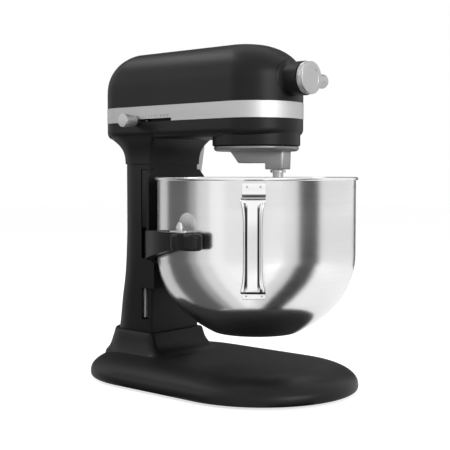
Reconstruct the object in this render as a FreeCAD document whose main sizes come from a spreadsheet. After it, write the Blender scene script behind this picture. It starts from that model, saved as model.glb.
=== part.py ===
import FreeCAD, Part
import math
import os
import types

import Sketcher

os.makedirs("parts", exist_ok=True)
doc = FreeCAD.newDocument("stand_mixer")
Vector = FreeCAD.Vector
Rotation = FreeCAD.Rotation

# Driving sizes in millimetres. +X is the front, +Z is up, the origin is under the middle of the base.
sizes = {
    # Base and feet
    "base_length": 372,
    "base_width": 239,
    "base_under": 3,
    "base_top": 30,
    "base_brow": 21,
    "base_slope": 46,
    "base_lip": 2,
    "base_rim": 20,
    "base_roof": 6,
    "plate_thick": 2,
    "foot_radius": 12,
    "foot_inset": 86,
    "foot_margin": 44.5,
    "post_radius": 7,
    "screw_radius": 2,
    "screw_head": 4,
    "screw_sink": 1.4,
    "screw_grip": 9,
    "seat_gap": 0.3,
    "running_gap": 0.06,
    # Column
    "column_setback": 106,
    "column_width": 88.6,
    "column_depth": 71,
    "column_wall": 4,
    "column_flare": 16,
    "column_ledge": 6,
    "column_corner": 3,
    "pedestal_tall": 27,
    "groove_inset": 5,
    "groove_wide": 12,
    "groove_deep": 7,
    "groove_start": 17,
    "groove_end": 7,
    "rail_width": 3.2,
    "rail_thick": 2.6,
    "inlet_radius": 7,
    "inlet_rise": 36,
    "inlet_long": 19,
    "inlet_flange": 5,
    "inlet_stand": 2,
    # Bowl
    "bowl_radius": 119.5,
    "bowl_clear": 20.5,
    "bowl_rim": 256.6,
    "bowl_floor": 71.6,
    "bowl_wall": 1,
    "bowl_belly": 165,
    "bowl_bend": 92,
    "bowl_sweep": 170,
    "bowl_turn": 48,
    "bowl_foot": 54,
    "bead_radius": 1.7,
    "handle_turn": -51,
    "handle_reach": 42,
    "handle_width": 20,
    "handle_plate": 27,
    "handle_thick": 2.2,
    "handle_down": 4,
    "handle_fall": 43,
    "handle_leg": 15,
    "ear_height": 22.2,
    "ear_width": 25,
    "ear_thick": 2.4,
    "ear_corner": 6,
    # Yoke and its lift
    "lift_travel": 26,
    "yoke_drop": 60.8,
    "yoke_deep": 79.5,
    "yoke_clear": 4,
    "yoke_thick": 11,
    "yoke_gap": 0.4,
    "yoke_round": 6,
    "arm_root_deep": 42,
    "arm_tip_deep": 19,
    "block_half": 54,
    "block_step": 6.5,
    "block_notch": 17,
    "apron_tall": 73,
    "apron_half": 52,
    "apron_thick": 4.5,
    "apron_shoulder": 10,
    "pad_ahead": 0,
    "pad_out": 13,
    "pad_radius": 10.8,
    "pad_round": 4,
    "pad_long": 20,
    "scoop_radius": 8,
    "scoop_deep": 3,
    "pin_out": 13,
    "pin_radius": 4.8,
    "pin_height": 12.3,
    "pin_root": 8,
    "lug_thick": 10,
    "lug_tall": 20,
    "lug_end": 6,
    "lug_play": 2,
    "lever_setback": 31,
    "lever_drop": 1,
    "crank_throw": 17,
    "crank_thick": 8,
    "crank_pin": 4,
    "crank_rim": 3,
    "crank_slack": 1.1,
    "lever_shaft": 7,
    "lever_length": 106,
    "lever_lean": 80,
    "lever_wide": 8,
    "lever_thick": 6,
    "lever_stand": 5,
    "bush_wall": 3,
    # Head
    "head_under": 307,
    "neck_tall": 32,
    "neck_lip": 1.8,
    "neck_ahead": 17,
    "head_overhang": 28,
    "head_nose": 55,
    "head_width": 114,
    "head_rear_round": 48,
    "head_front_round": 49,
    "floor_thick": 5,
    "belly_round": 9,
    "head_wall": 4,
    "band_drop": 26.1,
    "band_tall": 19.5,
    "band_thick": 2.2,
    "band_proud": 0.4,
    "seam_rise": 10,
    "cover_rise": 45,
    "shoulder_side": 43,
    "shoulder_front": 62,
    "shoulder_rear": 54,
    "shoulder_dip": 10,
    "collar_drop": 11.2,
    "collar_radius": 53.4,
    "collar_bore": 48.5,
    "collar_edge": 1.2,
    "neck_passage": 18,
    # Attachment hub
    "axis_rise": 61.6,
    "hub_reach": 20,
    "hub_radius": 20,
    "hub_bore": 17.5,
    "hub_depth": 28,
    "hub_flare": 4,
    "hub_root": 15,
    "cap_radius": 19.2,
    "cap_thick": 8.7,
    "cap_rim": 1.2,
    "clamp_back": 13,
    "clamp_radius": 8.5,
    "clamp_screw": 4,
    "clamp_boss": 9,
    "clamp_out": 11,
    "clamp_long": 21,
    "clamp_edge": 1.5,
    # Speed lever
    "slot_start": 76,
    "slot_long": 74,
    "speed_start": 12.5,
    "speed_rise": 1.6,
    "speed_stem": 1.7,
    "speed_out": 23.7,
    "speed_radius": 8.5,
    "speed_neck": 6.6,
    "slide_length": 26,
    "slide_tall": 10,
    "slide_thick": 3,
    "shield_thick": 0.8,
    "shield_margin": 5,
    "shield_tall": 24,
    "board_gap": 2,
    "board_thick": 1.6,
    "board_tall": 20,
    "board_margin": 10,
    "switch_long": 24,
    "switch_tall": 14,
    "switch_thick": 4,
    # Planetary drive, measured down from the head's underside
    "ring_teeth": 60,
    "planet_teeth": 20,
    "gear_module": 1.4,
    "gear_play": 0.3,
    "ring_thick": 9,
    "planet_thick": 7,
    "planet_rest": 20,
    "carrier_radius": 47,
    "carrier_drop": 18,
    "carrier_thick": 6,
    "carrier_hub": 10.5,
    "drip_radius": 51.6,
    "drip_drop": 17.4,
    "drip_tall": 5.6,
    "drip_lip": 3.5,
    "arm_drop": 31.7,
    "arm_wide": 31,
    "arm_tail": 18,
    "arm_corner": 4,
    "boss_drop": 39.4,
    "boss_half": 11.5,
    "beater_radius": 6.35,
    "beater_drop": 102,
    "beater_collar": 9.2,
    "collar_thick": 3.6,
    "drive_pin_rise": 24,
    "drive_pin_radius": 2,
    "drive_pin_length": 19,
    "pin_relief": 5,
    "centre_shaft": 7,
    "centre_step": 2,
    "bearing_radius": 14,
    "bearing_flange": 18,
    "flange_thick": 2,
    # Bevel drive and motor
    "crown_teeth": 36,
    "pinion_teeth": 12,
    "bevel_module": 1.6,
    "bevel_face": 8,
    "bevel_play": 0.35,
    "crown_back": 19.6,
    "crown_grip": 12,
    "pinion_back": 33,
    "motor_shaft": 4,
    "motor_tail": 6,
    "cradle_start": 37,
    "cradle_long": 122,
    "cradle_clear": 21,
    "cradle_plate": 4,
    "cradle_end": 6,
    "cradle_margin": 8,
    "saddle_wide": 8,
    "stator_start": 28,
    "stator_long": 68,
    "stator_side": 66,
    "stator_bore": 23.5,
    "coil_length": 8,
    "armature_radius": 22.5,
    "armature_slots": 12,
    "slot_wide": 3,
    "slot_deep": 6,
    "commutator_radius": 13,
    "commutator_long": 12,
    "fan_radius": 33,
    "fan_blades": 9,
    "blade_thick": 1.6,
    "fan_plate": 2,
    "stand_back": 46,
    "stand_thick": 7,
    "stand_wide": 40,
    "bearing_wall": 5,
    "holder_long": 14,
    "holder_side": 10,
    "holder_reach": 19,
    "brush_long": 8,
    "brush_side": 6,
    "brush_reach": 5,
    "pto_radius": 8,
    "pto_spigot": 5,
    "pto_square": 8,
    "pto_bearing": 12,
}


# A size that is a number and also remembers how it was worked out from the sheet.
class Size(float):
    def __new__(cls, value, text):
        size = float.__new__(cls, value)
        size.text = text
        return size

    def __add__(self, other):
        return Size(float(self) + float(other), f"({self.text} + {words(other)})")

    def __radd__(self, other):
        return Size(float(other) + float(self), f"({words(other)} + {self.text})")

    def __sub__(self, other):
        return Size(float(self) - float(other), f"({self.text} - {words(other)})")

    def __rsub__(self, other):
        return Size(float(other) - float(self), f"({words(other)} - {self.text})")

    def __mul__(self, other):
        return Size(float(self) * float(other), f"({self.text} * {words(other)})")

    def __rmul__(self, other):
        return Size(float(other) * float(self), f"({words(other)} * {self.text})")

    def __truediv__(self, other):
        return Size(float(self) / float(other), f"({self.text} / {words(other)})")

    def __neg__(self):
        return Size(-float(self), f"(-{self.text})")


def words(value):
    return value.text if isinstance(value, Size) else repr(float(value))


def root(value):
    return Size(math.sqrt(value), f"sqrt({words(value)})")


def cos(angle):
    return Size(math.cos(math.radians(angle)), f"cos({words(angle)} * 1deg)")


def sin(angle):
    return Size(math.sin(math.radians(angle)), f"sin({words(angle)} * 1deg)")


sheet = doc.addObject("Spreadsheet::Sheet", "Sizes")
for row, (name, value) in enumerate(sizes.items(), start=1):
    sheet.set(f"A{row}", name)
    sheet.set(f"B{row}", str(value))
    sheet.setAlias(f"B{row}", name)
doc.recompute()
d = types.SimpleNamespace(**{name: Size(sheet.get(name), "Sizes." + name) for name in sizes})

parts = []

# Places that follow from the driving sizes: along the base first, then up the stand and the head
d.column_front = d.column_setback - d.base_length / 2
d.groove_front = d.column_front - d.groove_inset
d.groove_rear = d.groove_front - d.groove_wide
d.lever_x = d.column_front - d.lever_setback
d.bowl_x = d.column_front + d.bowl_clear + d.bowl_radius
d.head_rear = d.column_front - d.column_depth - d.head_overhang
d.head_front = d.bowl_x + d.head_nose
d.hub_face = d.head_front + d.hub_reach
d.hub_core = d.head_front - d.hub_root
d.clamp_x = d.hub_face - d.clamp_back
d.clamp_start = d.hub_radius + d.clamp_out
d.clamp_end = d.clamp_start + d.clamp_long
d.slot_rear = d.head_rear + d.slot_start
d.slot_front = d.slot_rear + d.slot_long
d.speed_x = d.slot_rear + d.speed_start
d.column_foot = d.base_top + d.pedestal_tall
d.column_top = d.head_under - d.neck_tall
d.groove_low = d.column_foot + d.groove_start
d.groove_high = d.column_top - d.groove_end
d.inlet_height = d.column_foot + d.inlet_rise
d.yoke_top = d.bowl_rim - d.yoke_drop
d.yoke_low = d.yoke_top - d.yoke_deep
d.yoke_inner = d.bowl_radius + d.yoke_clear
d.yoke_outer = d.yoke_inner + d.yoke_thick
d.arm_root = d.yoke_top - d.arm_root_deep
d.arm_tip = d.yoke_top - d.arm_tip_deep
d.block_top = d.yoke_top - d.block_step
d.pad_x = d.bowl_x + d.pad_ahead
d.pad_y = d.bowl_radius + d.pad_out
d.lobe_x = d.pad_x + d.pad_long
d.pin_y = d.bowl_radius + d.pin_out
d.lever_z = d.yoke_top - d.lever_drop
d.handle_top = d.bowl_rim - d.handle_down
d.handle_low = d.bowl_belly - d.handle_fall
d.head_floor = d.head_under + d.floor_thick
d.hub_height = d.head_floor + d.axis_rise
d.band_high = d.hub_height - d.band_drop
d.band_low = d.band_high - d.band_tall
d.seam_height = d.band_low + d.seam_rise
d.head_top = d.hub_height + d.cover_rise
d.collar_low = d.head_under - d.collar_drop
d.speed_z = d.band_low + d.speed_rise
d.speed_reach = d.head_width / 2 + d.speed_out
d.carrier_low = d.head_under - d.carrier_drop
d.carrier_high = d.carrier_low + d.carrier_thick
d.drip_low = d.head_under - d.drip_drop
d.drip_high = d.drip_low + d.drip_tall
d.arm_low = d.head_under - d.arm_drop
d.boss_low = d.head_under - d.boss_drop
d.beater_end = d.head_under - d.beater_drop
d.drive_pin_z = d.beater_end + d.drive_pin_rise
d.crown_low = d.hub_height - d.crown_back
d.centre_top = d.crown_low + d.crown_grip
d.cradle_rear = d.head_rear + d.cradle_start
d.cradle_front = d.cradle_rear + d.cradle_long
d.stator_rear = d.cradle_rear + d.stator_start
d.stator_front = d.stator_rear + d.stator_long
d.motor_rear = d.cradle_rear - d.motor_tail
d.stand_x = d.bowl_x - d.stand_back
d.bearing_outer = d.motor_shaft + d.bearing_wall


# Binding and sketching helpers
def bind(item, prop, value):
    item.setExpression(prop, words(value))


def place(item, x=0.0, y=0.0, z=0.0, turn=None):
    if turn is not None:
        item.Placement = FreeCAD.Placement(Vector(float(x), float(y), float(z)), turn)
    for axis, value in zip("xyz", (x, y, z)):
        bind(item, "Placement.Base." + axis, value)


def keep(item, label):
    item.Label = label
    parts.append(item)
    return item


def new_body(label):
    return keep(doc.addObject("PartDesign::Body", label), label)


def sketch_on(body, role, lift=0.0):
    sketch = body.newObject("Sketcher::SketchObject", body.Name + "_sketch")
    plane = next(item for item in body.Origin.OriginFeatures if item.Role == role)
    sketch.AttachmentSupport = [(plane, "")]
    sketch.MapMode = "FlatFace"
    bind(sketch, "AttachmentOffset.Base.z", lift)
    return sketch


def fix(sketch, geo, pos, x, y):
    for kind, value in (("DistanceX", x), ("DistanceY", y)):
        index = sketch.addConstraint(Sketcher.Constraint(kind, -1, 1, geo, pos, float(value)))
        sketch.setExpression(f"Constraints[{index}]", words(value))


def set_radius(sketch, geo, radius):
    index = sketch.addConstraint(Sketcher.Constraint("Radius", geo, float(radius)))
    sketch.setExpression(f"Constraints[{index}]", words(radius))


def polygon(sketch, points):
    first = sketch.GeometryCount
    count = len(points)
    for here, there in zip(points, points[1:] + points[:1]):
        start = Vector(float(here[0]), float(here[1]), 0)
        end = Vector(float(there[0]), float(there[1]), 0)
        sketch.addGeometry(Part.LineSegment(start, end))
    for step in range(count):
        after = first + (step + 1) % count
        sketch.addConstraint(Sketcher.Constraint("Coincident", first + step, 2, after, 1))
    for step, (x, y) in enumerate(points):
        fix(sketch, first + step, 1, x, y)


def rectangle(sketch, x0, x1, y0, y1):
    polygon(sketch, [(x0, y0), (x1, y0), (x1, y1), (x0, y1)])


def circle(sketch, x, y, radius):
    centre = Vector(float(x), float(y), 0)
    geo = sketch.addGeometry(Part.Circle(centre, Vector(0, 0, 1), float(radius)))
    fix(sketch, geo, 3, x, y)
    set_radius(sketch, geo, radius)


# An outline with a half circle at x0 and another at x1, or at x1 a square front with small rounded corners
def round_outline(sketch, x0, x1, radius, corner=None):
    r = float(radius)
    c = float(corner or 0.0)
    up = Vector(0, 0, 1)

    def line(xa, ya, xb, yb):
        return sketch.addGeometry(Part.LineSegment(Vector(xa, ya, 0), Vector(xb, yb, 0)))

    def arc(x, y, size, start, end):
        whole = Part.Circle(Vector(x, y, 0), up, size)
        return sketch.addGeometry(Part.ArcOfCircle(whole, math.radians(start), math.radians(end)))

    rear, front = float(x0), float(x1)
    back = arc(rear, 0, r, 90, 270)
    low = line(rear, -r, front - c, -r)
    if corner is None:
        chain = [back, low, arc(front, 0, r, -90, 90), line(front, r, rear, r)]
        fix(sketch, chain[2], 3, x1, 0.0)
    else:
        chain = [back, low, arc(front - c, c - r, c, -90, 0), line(front, c - r, front, r - c),
                 arc(front - c, r - c, c, 0, 90), line(front - c, r, rear, r)]
        sketch.addConstraint(Sketcher.Constraint("Vertical", chain[3]))
        index = sketch.addConstraint(Sketcher.Constraint("DistanceX", -1, 1, chain[3], 1, front))
        sketch.setExpression(f"Constraints[{index}]", words(x1))
        set_radius(sketch, chain[2], corner)
        set_radius(sketch, chain[4], corner)
    for here, there in zip(chain, chain[1:] + chain[:1]):
        sketch.addConstraint(Sketcher.Constraint("Tangent", here, 2, there, 1))
    fix(sketch, back, 3, x0, 0.0)
    set_radius(sketch, back, radius)


# Feature helpers
def feature(body, kind, sketch, prop, size, reverse=False, side="One side"):
    item = body.newObject("PartDesign::" + kind, body.Name + "_" + kind.lower())
    item.Profile = sketch
    bind(item, prop, size)
    if kind in ("Pad", "Pocket"):
        item.SideType = side
    item.Reversed = reverse
    before = 0.0 if body.Shape.isNull() else body.Shape.Volume
    doc.recompute()
    if kind in ("Pocket", "Groove") and body.Shape.Volume > before - 1e-6:
        raise ValueError(f"{item.Name} cuts nothing")
    return item


def pad(body, sketch, length, reverse=False, side="One side"):
    return feature(body, "Pad", sketch, "Length", length, reverse, side)


def pocket(body, sketch, length, reverse=False, side="One side"):
    return feature(body, "Pocket", sketch, "Length", length, reverse, side)


def spin(body, sketch):
    item = body.newObject("PartDesign::Revolution", body.Name + "_turning")
    item.Profile = sketch
    item.ReferenceAxis = (sketch, ["V_Axis"])
    item.Angle = 360.0
    doc.recompute()
    return item


# A turned piece: its half section lies in the XZ plane and turns about its own Z axis.
def turned(label, points, x=0.0, y=0.0, z=0.0, turn=None):
    body = new_body(label)
    sketch = sketch_on(body, "XZ_Plane")
    polygon(sketch, points)
    spin(body, sketch)
    place(body, x, y, z, turn)
    return body


def round_edges(body, base, wanted, radius):
    names = [f"Edge{n}" for n, edge in enumerate(base.Shape.Edges, start=1) if wanted(edge)]
    item = body.newObject("PartDesign::Fillet", body.Name + "_round")
    item.Base = (base, names)
    bind(item, "Radius", radius)
    doc.recompute()
    return item


def level_at(height):
    return lambda edge: max(abs(edge.BoundBox.ZMin - height), abs(edge.BoundBox.ZMax - height)) < 0.01


# A block or a rod of the document, bound to its sizes
def block(name, x0, x1, y0, y1, z0, z1):
    item = doc.addObject("Part::Box", name)
    bind(item, "Length", x1 - x0)
    bind(item, "Width", y1 - y0)
    bind(item, "Height", z1 - z0)
    place(item, x0, y0, z0)
    return item


along_x = Rotation(Vector(0, 1, 0), 90)
along_y = Rotation(Vector(1, 0, 0), -90)


def rod(name, radius, length, x, y, z, turn=None):
    item = doc.addObject("Part::Cylinder", name)
    bind(item, "Radius", radius)
    bind(item, "Height", length)
    place(item, x, y, z, turn)
    return item


def fused(name, items):
    item = doc.addObject("Part::MultiFuse", name)
    item.Shapes = items
    return item


def cut(name, base, tool):
    item = doc.addObject("Part::Cut", name)
    item.Base = base
    item.Tool = tool
    return item


def group(name, items):
    item = doc.addObject("Part::Compound", name)
    item.Links = items
    return item


# A free form that is worked out in code and still takes every size from the sheet
def shaped(label, shape):
    item = doc.addObject("Part::Feature", label)
    item.Shape = shape
    return keep(item, label)


def solid_rod(radius, start, end, x=0.0, y=0.0, z=0.0, axis="x"):
    directions = {"x": Vector(1, 0, 0), "y": Vector(0, 1, 0), "z": Vector(0, 0, 1)}
    along = directions[axis]
    return Part.makeCylinder(radius, end - start, Vector(x, y, z) + along * float(start), along)


def solid_block(x0, x1, y0, y1, z0, z1):
    return Part.makeBox(x1 - x0, y1 - y0, z1 - z0, Vector(x0, y0, z0))


# Outlines shared by the stand's pieces
base_radius = d.base_width / 2
base_centre = d.base_length / 2 - base_radius
column_half = d.column_width / 2
column_rear = d.column_front - d.column_depth
# Share of the back's flare at the height of the inlet
inlet_taper = 0.64
cavity_radius = base_radius - d.base_rim
foot_along = d.base_length / 2 - d.foot_inset
foot_across = base_radius - d.foot_margin
foot_places = [(sx * foot_along, sy * foot_across) for sx in (-1, 1) for sy in (-1, 1)]


def column_outline(body, height, front, rear, half, corner):
    sketch = sketch_on(body, "XY_Plane", height)
    round_outline(sketch, rear + half, front, half, corner)
    return sketch


def loft(body, sections):
    item = body.newObject("PartDesign::AdditiveLoft", body.Name + "_loft")
    item.Profile = sections[0]
    item.Sections = sections[1:]
    doc.recompute()
    return item


# Base casting: a pebble-edged plate with a swept pedestal for the column and a hollow underside
def base_casting():
    body = new_body("base_casting")
    brow = d.base_top - d.base_brow
    levels = [(d.base_under, d.base_lip), (d.base_under + d.base_lip * 0.3, d.base_lip * 0.3),
              (d.base_under + d.base_lip, 0.0)]
    for angle in range(0, 91, 9):
        levels.append((brow + d.base_brow * sin(angle), d.base_slope * (1 - cos(angle))))
    outlines = []
    for height, inset in levels:
        outline = sketch_on(body, "XY_Plane", height)
        round_outline(outline, -base_centre, base_centre, base_radius - inset)
        outlines.append(outline)
    loft(body, outlines)
    ledge = d.column_ledge
    tall = d.pedestal_tall
    # Height over the base's top, then how far the front, sides and back stand out from the column's foot
    steps = [(tall, 0.6, 0.6, 0.6), (tall * 0.96, 0.87, 0.87, 0.87), (tall * 0.86, 1.05, 1.05, 1.05),
             (tall * 0.66, 1.35, 1.25, 1.33), (tall * 0.44, 1.85, 1.5, 1.67), (tall * 0.2, 3.0, 1.95, 2.0),
             (tall * 0.06, 4.2, 2.4, 2.3), (tall * -0.07, 6.3, 3.2, 2.6), (tall * -0.15, 8.3, 3.6, 2.85),
             (tall * -0.37, 8.3, 3.8, 3.0), (tall * -0.74, 8.3, 4.0, 3.1)]
    sections = []
    for height, ahead, beside, behind in steps:
        front = d.column_front + ledge * ahead
        rear = column_rear - d.column_flare - ledge * behind
        corner = d.column_corner + ledge * ahead * 0.6
        half = column_half + ledge * beside
        sections.append(column_outline(body, d.base_top + height, front, rear, half, corner))
    loft(body, sections)
    hollow = sketch_on(body, "XY_Plane", d.base_under)
    round_outline(hollow, -base_centre, base_centre, cavity_radius)
    pocket(body, hollow, d.base_top - d.base_roof - d.base_under, reverse=True)
    posts = sketch_on(body, "XY_Plane", d.base_under + d.plate_thick)
    for x, y in foot_places:
        circle(posts, x, y, d.post_radius)
    pad(body, posts, d.base_top - d.base_roof - d.base_under - d.plate_thick)
    drill = sketch_on(body, "XY_Plane", d.base_under + d.plate_thick)
    for x, y in foot_places:
        circle(drill, x, y, d.screw_radius + d.running_gap)
    pocket(body, drill, d.screw_grip, reverse=True)


# Sheet plate that closes the underside, drilled for the foot screws
def base_plate():
    body = new_body("base_plate")
    outline = sketch_on(body, "XY_Plane", d.base_under)
    round_outline(outline, -base_centre, base_centre, cavity_radius - d.seat_gap)
    for x, y in foot_places:
        circle(outline, x, y, d.screw_radius + d.running_gap)
    pad(body, outline, d.plate_thick)


# Rubber feet with a well for the screw head, and the screws that hold them
def feet():
    rings = []
    screws = []
    for step, (x, y) in enumerate(foot_places):
        disc = rod(f"foot_disc_{step}", d.foot_radius, d.base_under, x, y, 0.0)
        well = rod(f"foot_well_{step}", d.screw_head + d.seat_gap, d.screw_sink, x, y, 0.0)
        hole = rod(f"foot_hole_{step}", d.screw_radius + d.running_gap, d.base_under, x, y, 0.0)
        rings.append(cut(f"foot_{step}", disc, fused(f"foot_bore_{step}", [well, hole])))
        head_low = d.seat_gap
        head = rod(f"screw_head_{step}", d.screw_head, d.screw_sink - head_low, x, y, head_low)
        reach = d.base_under + d.plate_thick + d.screw_grip - d.screw_sink - 1
        shank = rod(f"screw_shank_{step}", d.screw_radius, reach, x, y, d.screw_sink)
        screws.append(fused(f"foot_screw_{step}", [head, shank]))
    keep(group("rubber_feet", rings), "rubber_feet")
    keep(group("foot_screws", screws), "foot_screws")


# Height of the yoke's lug over the lever shaft when the bowl is up, and the crank's angle there
lug_rise = d.lift_travel / 2
crank_angle = math.degrees(math.asin(lug_rise / d.crank_throw))
lug_z = d.lever_z + lug_rise
slot_half = d.lug_thick / 2 + 1
bush_radius = d.lever_shaft + d.running_gap + d.bush_wall


# Column: a round-backed hollow post with guide grooves beside the front corners
def column_housing():
    body = new_body("column_housing")
    rise = d.groove_low - d.column_foot
    flare = d.column_flare
    steps = [(d.column_foot, 1.0), (d.column_foot + rise * 0.53, 0.875), (d.inlet_height, inlet_taper),
             (d.groove_low + rise * 2.7, 0.34), (d.groove_low + rise * 4.5, 0.12),
             (d.groove_low + rise * 6, 0.03), (d.groove_low + rise * 7, 0.0)]
    sections = []
    for height, behind in steps:
        rear = column_rear - flare * behind
        sections.append(column_outline(body, height, d.column_front, rear, column_half, d.column_corner))
    loft(body, sections)
    straight = d.groove_low + rise * 7
    post = column_outline(body, straight, d.column_front, column_rear, column_half, d.column_corner)
    pad(body, post, d.column_top - straight)
    inner_half = column_half - d.column_wall
    hollow = sketch_on(body, "XY_Plane", d.column_foot)
    front = d.groove_rear - d.column_wall
    round_outline(hollow, column_rear + d.column_wall + inner_half, front, inner_half, d.column_corner)
    pocket(body, hollow, d.column_top - d.column_foot, reverse=True)
    throat = sketch_on(body, "XY_Plane", d.column_foot)
    throat_half = column_half - d.groove_deep - d.column_wall
    rectangle(throat, front - 1, d.column_front - d.column_wall, -throat_half, throat_half)
    pocket(body, throat, d.column_top - d.column_foot, reverse=True)
    grooves = sketch_on(body, "XY_Plane", d.groove_low)
    for side in (-1, 1):
        inner = side * (column_half - d.groove_deep)
        outer = side * (column_half + flare)
        rectangle(grooves, d.groove_rear, d.groove_front, inner, outer)
    pocket(body, grooves, d.groove_high - d.groove_low, reverse=True)
    slot = sketch_on(body, "YZ_Plane", d.column_front - d.column_wall - 1)
    low = lug_z - d.lug_tall / 2 - d.lift_travel - d.lug_play
    rectangle(slot, -slot_half, slot_half, low, lug_z + d.lug_tall / 2 + d.lug_play)
    pocket(body, slot, d.column_wall + 2, reverse=True)
    pivot = sketch_on(body, "XZ_Plane", -inner_half + d.column_wall)
    circle(pivot, d.lever_x, d.lever_z, bush_radius + d.running_gap)
    pocket(body, pivot, column_half)
    inlet = sketch_on(body, "YZ_Plane", column_rear + d.column_wall + 5)
    circle(inlet, 0.0, d.inlet_height, d.inlet_radius + d.running_gap)
    pocket(body, inlet, d.column_wall + flare + 5)


# Steel strips at the back of the grooves that the yoke's tongues run along
def guide_rails():
    floor = column_half - d.groove_deep
    low = d.groove_low + 2
    high = d.groove_high - 2
    for side, label in ((-1, "guide_rail_right"), (1, "guide_rail_left")):
        y0 = floor if side > 0 else -floor - d.rail_thick
        rail = block(label, d.groove_rear, d.groove_rear + d.rail_width, y0, y0 + d.rail_thick, low, high)
        keep(rail, label)


# Plastic inlet for the supply cord, low on the back of the column
def cord_inlet():
    wall = column_rear - d.column_flare * inlet_taper
    radius = d.inlet_radius
    bore = radius * 0.6
    flange = radius * 1.45
    end = d.inlet_long + d.column_wall
    collar = end - d.inlet_flange
    points = [(bore, 0.0), (radius, 0.0), (radius, collar), (flange, collar),
              (flange, collar + d.inlet_flange * 0.4), (radius, end), (bore, end)]
    back = Rotation(Vector(0, 1, 0), -90)
    turned("cord_inlet", points, wall + collar - d.inlet_stand, 0.0, d.inlet_height, back)


base_casting()
base_plate()
feet()
column_housing()
guide_rails()
cord_inlet()


# Bowl support: a U-shaped yoke on two slider blocks, with a pad and pin at the end of each arm
def bowl_yoke():
    body = new_body("bowl_yoke")
    deep = d.yoke_top - d.yoke_low
    ring = sketch_on(body, "XY_Plane", d.yoke_low)
    circle(ring, d.bowl_x, 0.0, d.yoke_outer)
    circle(ring, d.bowl_x, 0.0, d.yoke_inner)
    pad(body, ring, deep)
    reach = d.yoke_outer + d.pad_radius
    open_front = sketch_on(body, "XY_Plane", d.yoke_low)
    rectangle(open_front, d.bowl_x, d.bowl_x + reach, -reach, reach)
    pocket(body, open_front, deep, reverse=True)
    pads = sketch_on(body, "XY_Plane", d.yoke_low)
    for side in (-1, 1):
        circle(pads, d.pad_x, side * d.pad_y, d.pad_radius)
    pad(body, pads, deep)
    bridges = sketch_on(body, "XY_Plane", d.yoke_low)
    for side in (-1, 1):
        rectangle(bridges, d.pad_x, d.lobe_x, side * d.yoke_inner, side * (d.pad_y + d.pad_radius))
    pad(body, bridges, deep)
    lobes = sketch_on(body, "XY_Plane", d.yoke_low)
    for side in (-1, 1):
        circle(lobes, d.lobe_x, side * d.pad_y, d.pad_radius)
    pad(body, lobes, deep)
    saddle = sketch_on(body, "XY_Plane", d.yoke_low)
    saddle_front = d.bowl_x - root(d.yoke_inner * d.yoke_inner - d.block_half * d.block_half) + 2
    rectangle(saddle, d.groove_rear, saddle_front, -d.block_half, d.block_half)
    pad(body, saddle, deep)
    # Room for the column, then the tongues that run in its grooves
    room = sketch_on(body, "XY_Plane", d.yoke_low)
    room_half = column_half + d.yoke_gap
    rectangle(room, d.groove_rear - d.pad_radius, d.column_front + d.yoke_gap, -room_half, room_half)
    pocket(body, room, deep, reverse=True)
    tongues = sketch_on(body, "XY_Plane", d.yoke_low)
    floor = column_half - d.groove_deep + d.yoke_gap
    rail_front = d.groove_rear + d.rail_width + d.yoke_gap
    for side in (-1, 1):
        rectangle(tongues, rail_front, d.groove_front - d.yoke_gap, side * floor, side * (room_half + 1))
    pad(body, tongues, d.block_top - d.yoke_low)
    well = sketch_on(body, "XY_Plane", d.yoke_low)
    circle(well, d.bowl_x, 0.0, d.yoke_inner)
    pocket(body, well, deep, reverse=True)
    # Side view: the arms rise towards the pads, and the blocks stand a little lower than the pads
    under = sketch_on(body, "XZ_Plane")
    far = d.lobe_x + d.pad_radius + 1
    arm_back = d.column_front + 1.5 * d.pad_radius
    polygon(under, [(arm_back, d.yoke_low - 1), (arm_back, d.arm_root - 6), (arm_back + 6, d.arm_root),
                    (d.bowl_x - d.pad_radius, d.arm_tip), (far, d.arm_tip), (far, d.yoke_low - 1)])
    pocket(body, under, 2 * reach, side="Symmetric")
    over = sketch_on(body, "XZ_Plane")
    level = d.bowl_x - d.yoke_inner / 2
    polygon(over, [(d.groove_rear - 1, d.block_top), (d.column_front, d.block_top), (level, d.yoke_top),
                   (level, d.yoke_top + 1), (d.groove_rear - 1, d.yoke_top + 1)])
    pocket(body, over, 2 * reach, side="Symmetric")
    notch = sketch_on(body, "XZ_Plane")
    notch_front = d.groove_rear + d.block_notch
    rectangle(notch, d.groove_rear - 1, notch_front, d.arm_root, d.yoke_top + 1)
    tip = pocket(body, notch, 2 * reach, side="Symmetric")

    def block_edge(edge):
        box = edge.BoundBox
        level = min(abs(box.ZMin - d.yoke_low), abs(box.ZMin - d.arm_root)) < 0.01
        return level and box.ZLength < 0.01 and abs(box.XMin - d.groove_rear) < 0.01 and box.XLength < 0.01

    tip = round_edges(body, tip, block_edge, d.yoke_round)

    def outer_edge(edge):
        middle = edge.CenterOfMass
        on_pad = abs(middle.y) > d.pad_y - 4 and middle.x > d.bowl_x - 6
        return on_pad and (level_at(d.arm_tip)(edge) or level_at(d.yoke_top)(edge))

    round_edges(body, tip, outer_edge, d.pad_round)
    scoops = sketch_on(body, "XY_Plane", d.arm_tip)
    for side in (-1, 1):
        scoop_y = d.pad_y + d.pad_radius + d.scoop_radius - d.scoop_deep
        circle(scoops, d.pad_x + d.pad_long / 2, side * scoop_y, d.scoop_radius)
    pocket(body, scoops, d.yoke_top - d.arm_tip, reverse=True)
    # Apron that covers the column's front over the saddle, with sloped shoulders
    apron = sketch_on(body, "YZ_Plane", d.column_front + d.yoke_gap)
    apron_low = d.block_top - 4
    shoulder_low = apron_low + d.apron_tall
    apron_top = shoulder_low + d.apron_shoulder
    wide = d.apron_half
    brow = d.apron_half - d.apron_shoulder
    polygon(apron, [(-wide, apron_low), (wide, apron_low), (wide, shoulder_low), (brow, apron_top),
                    (-brow, apron_top), (-wide, shoulder_low)])
    pad(body, apron, d.apron_thick)
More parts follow.
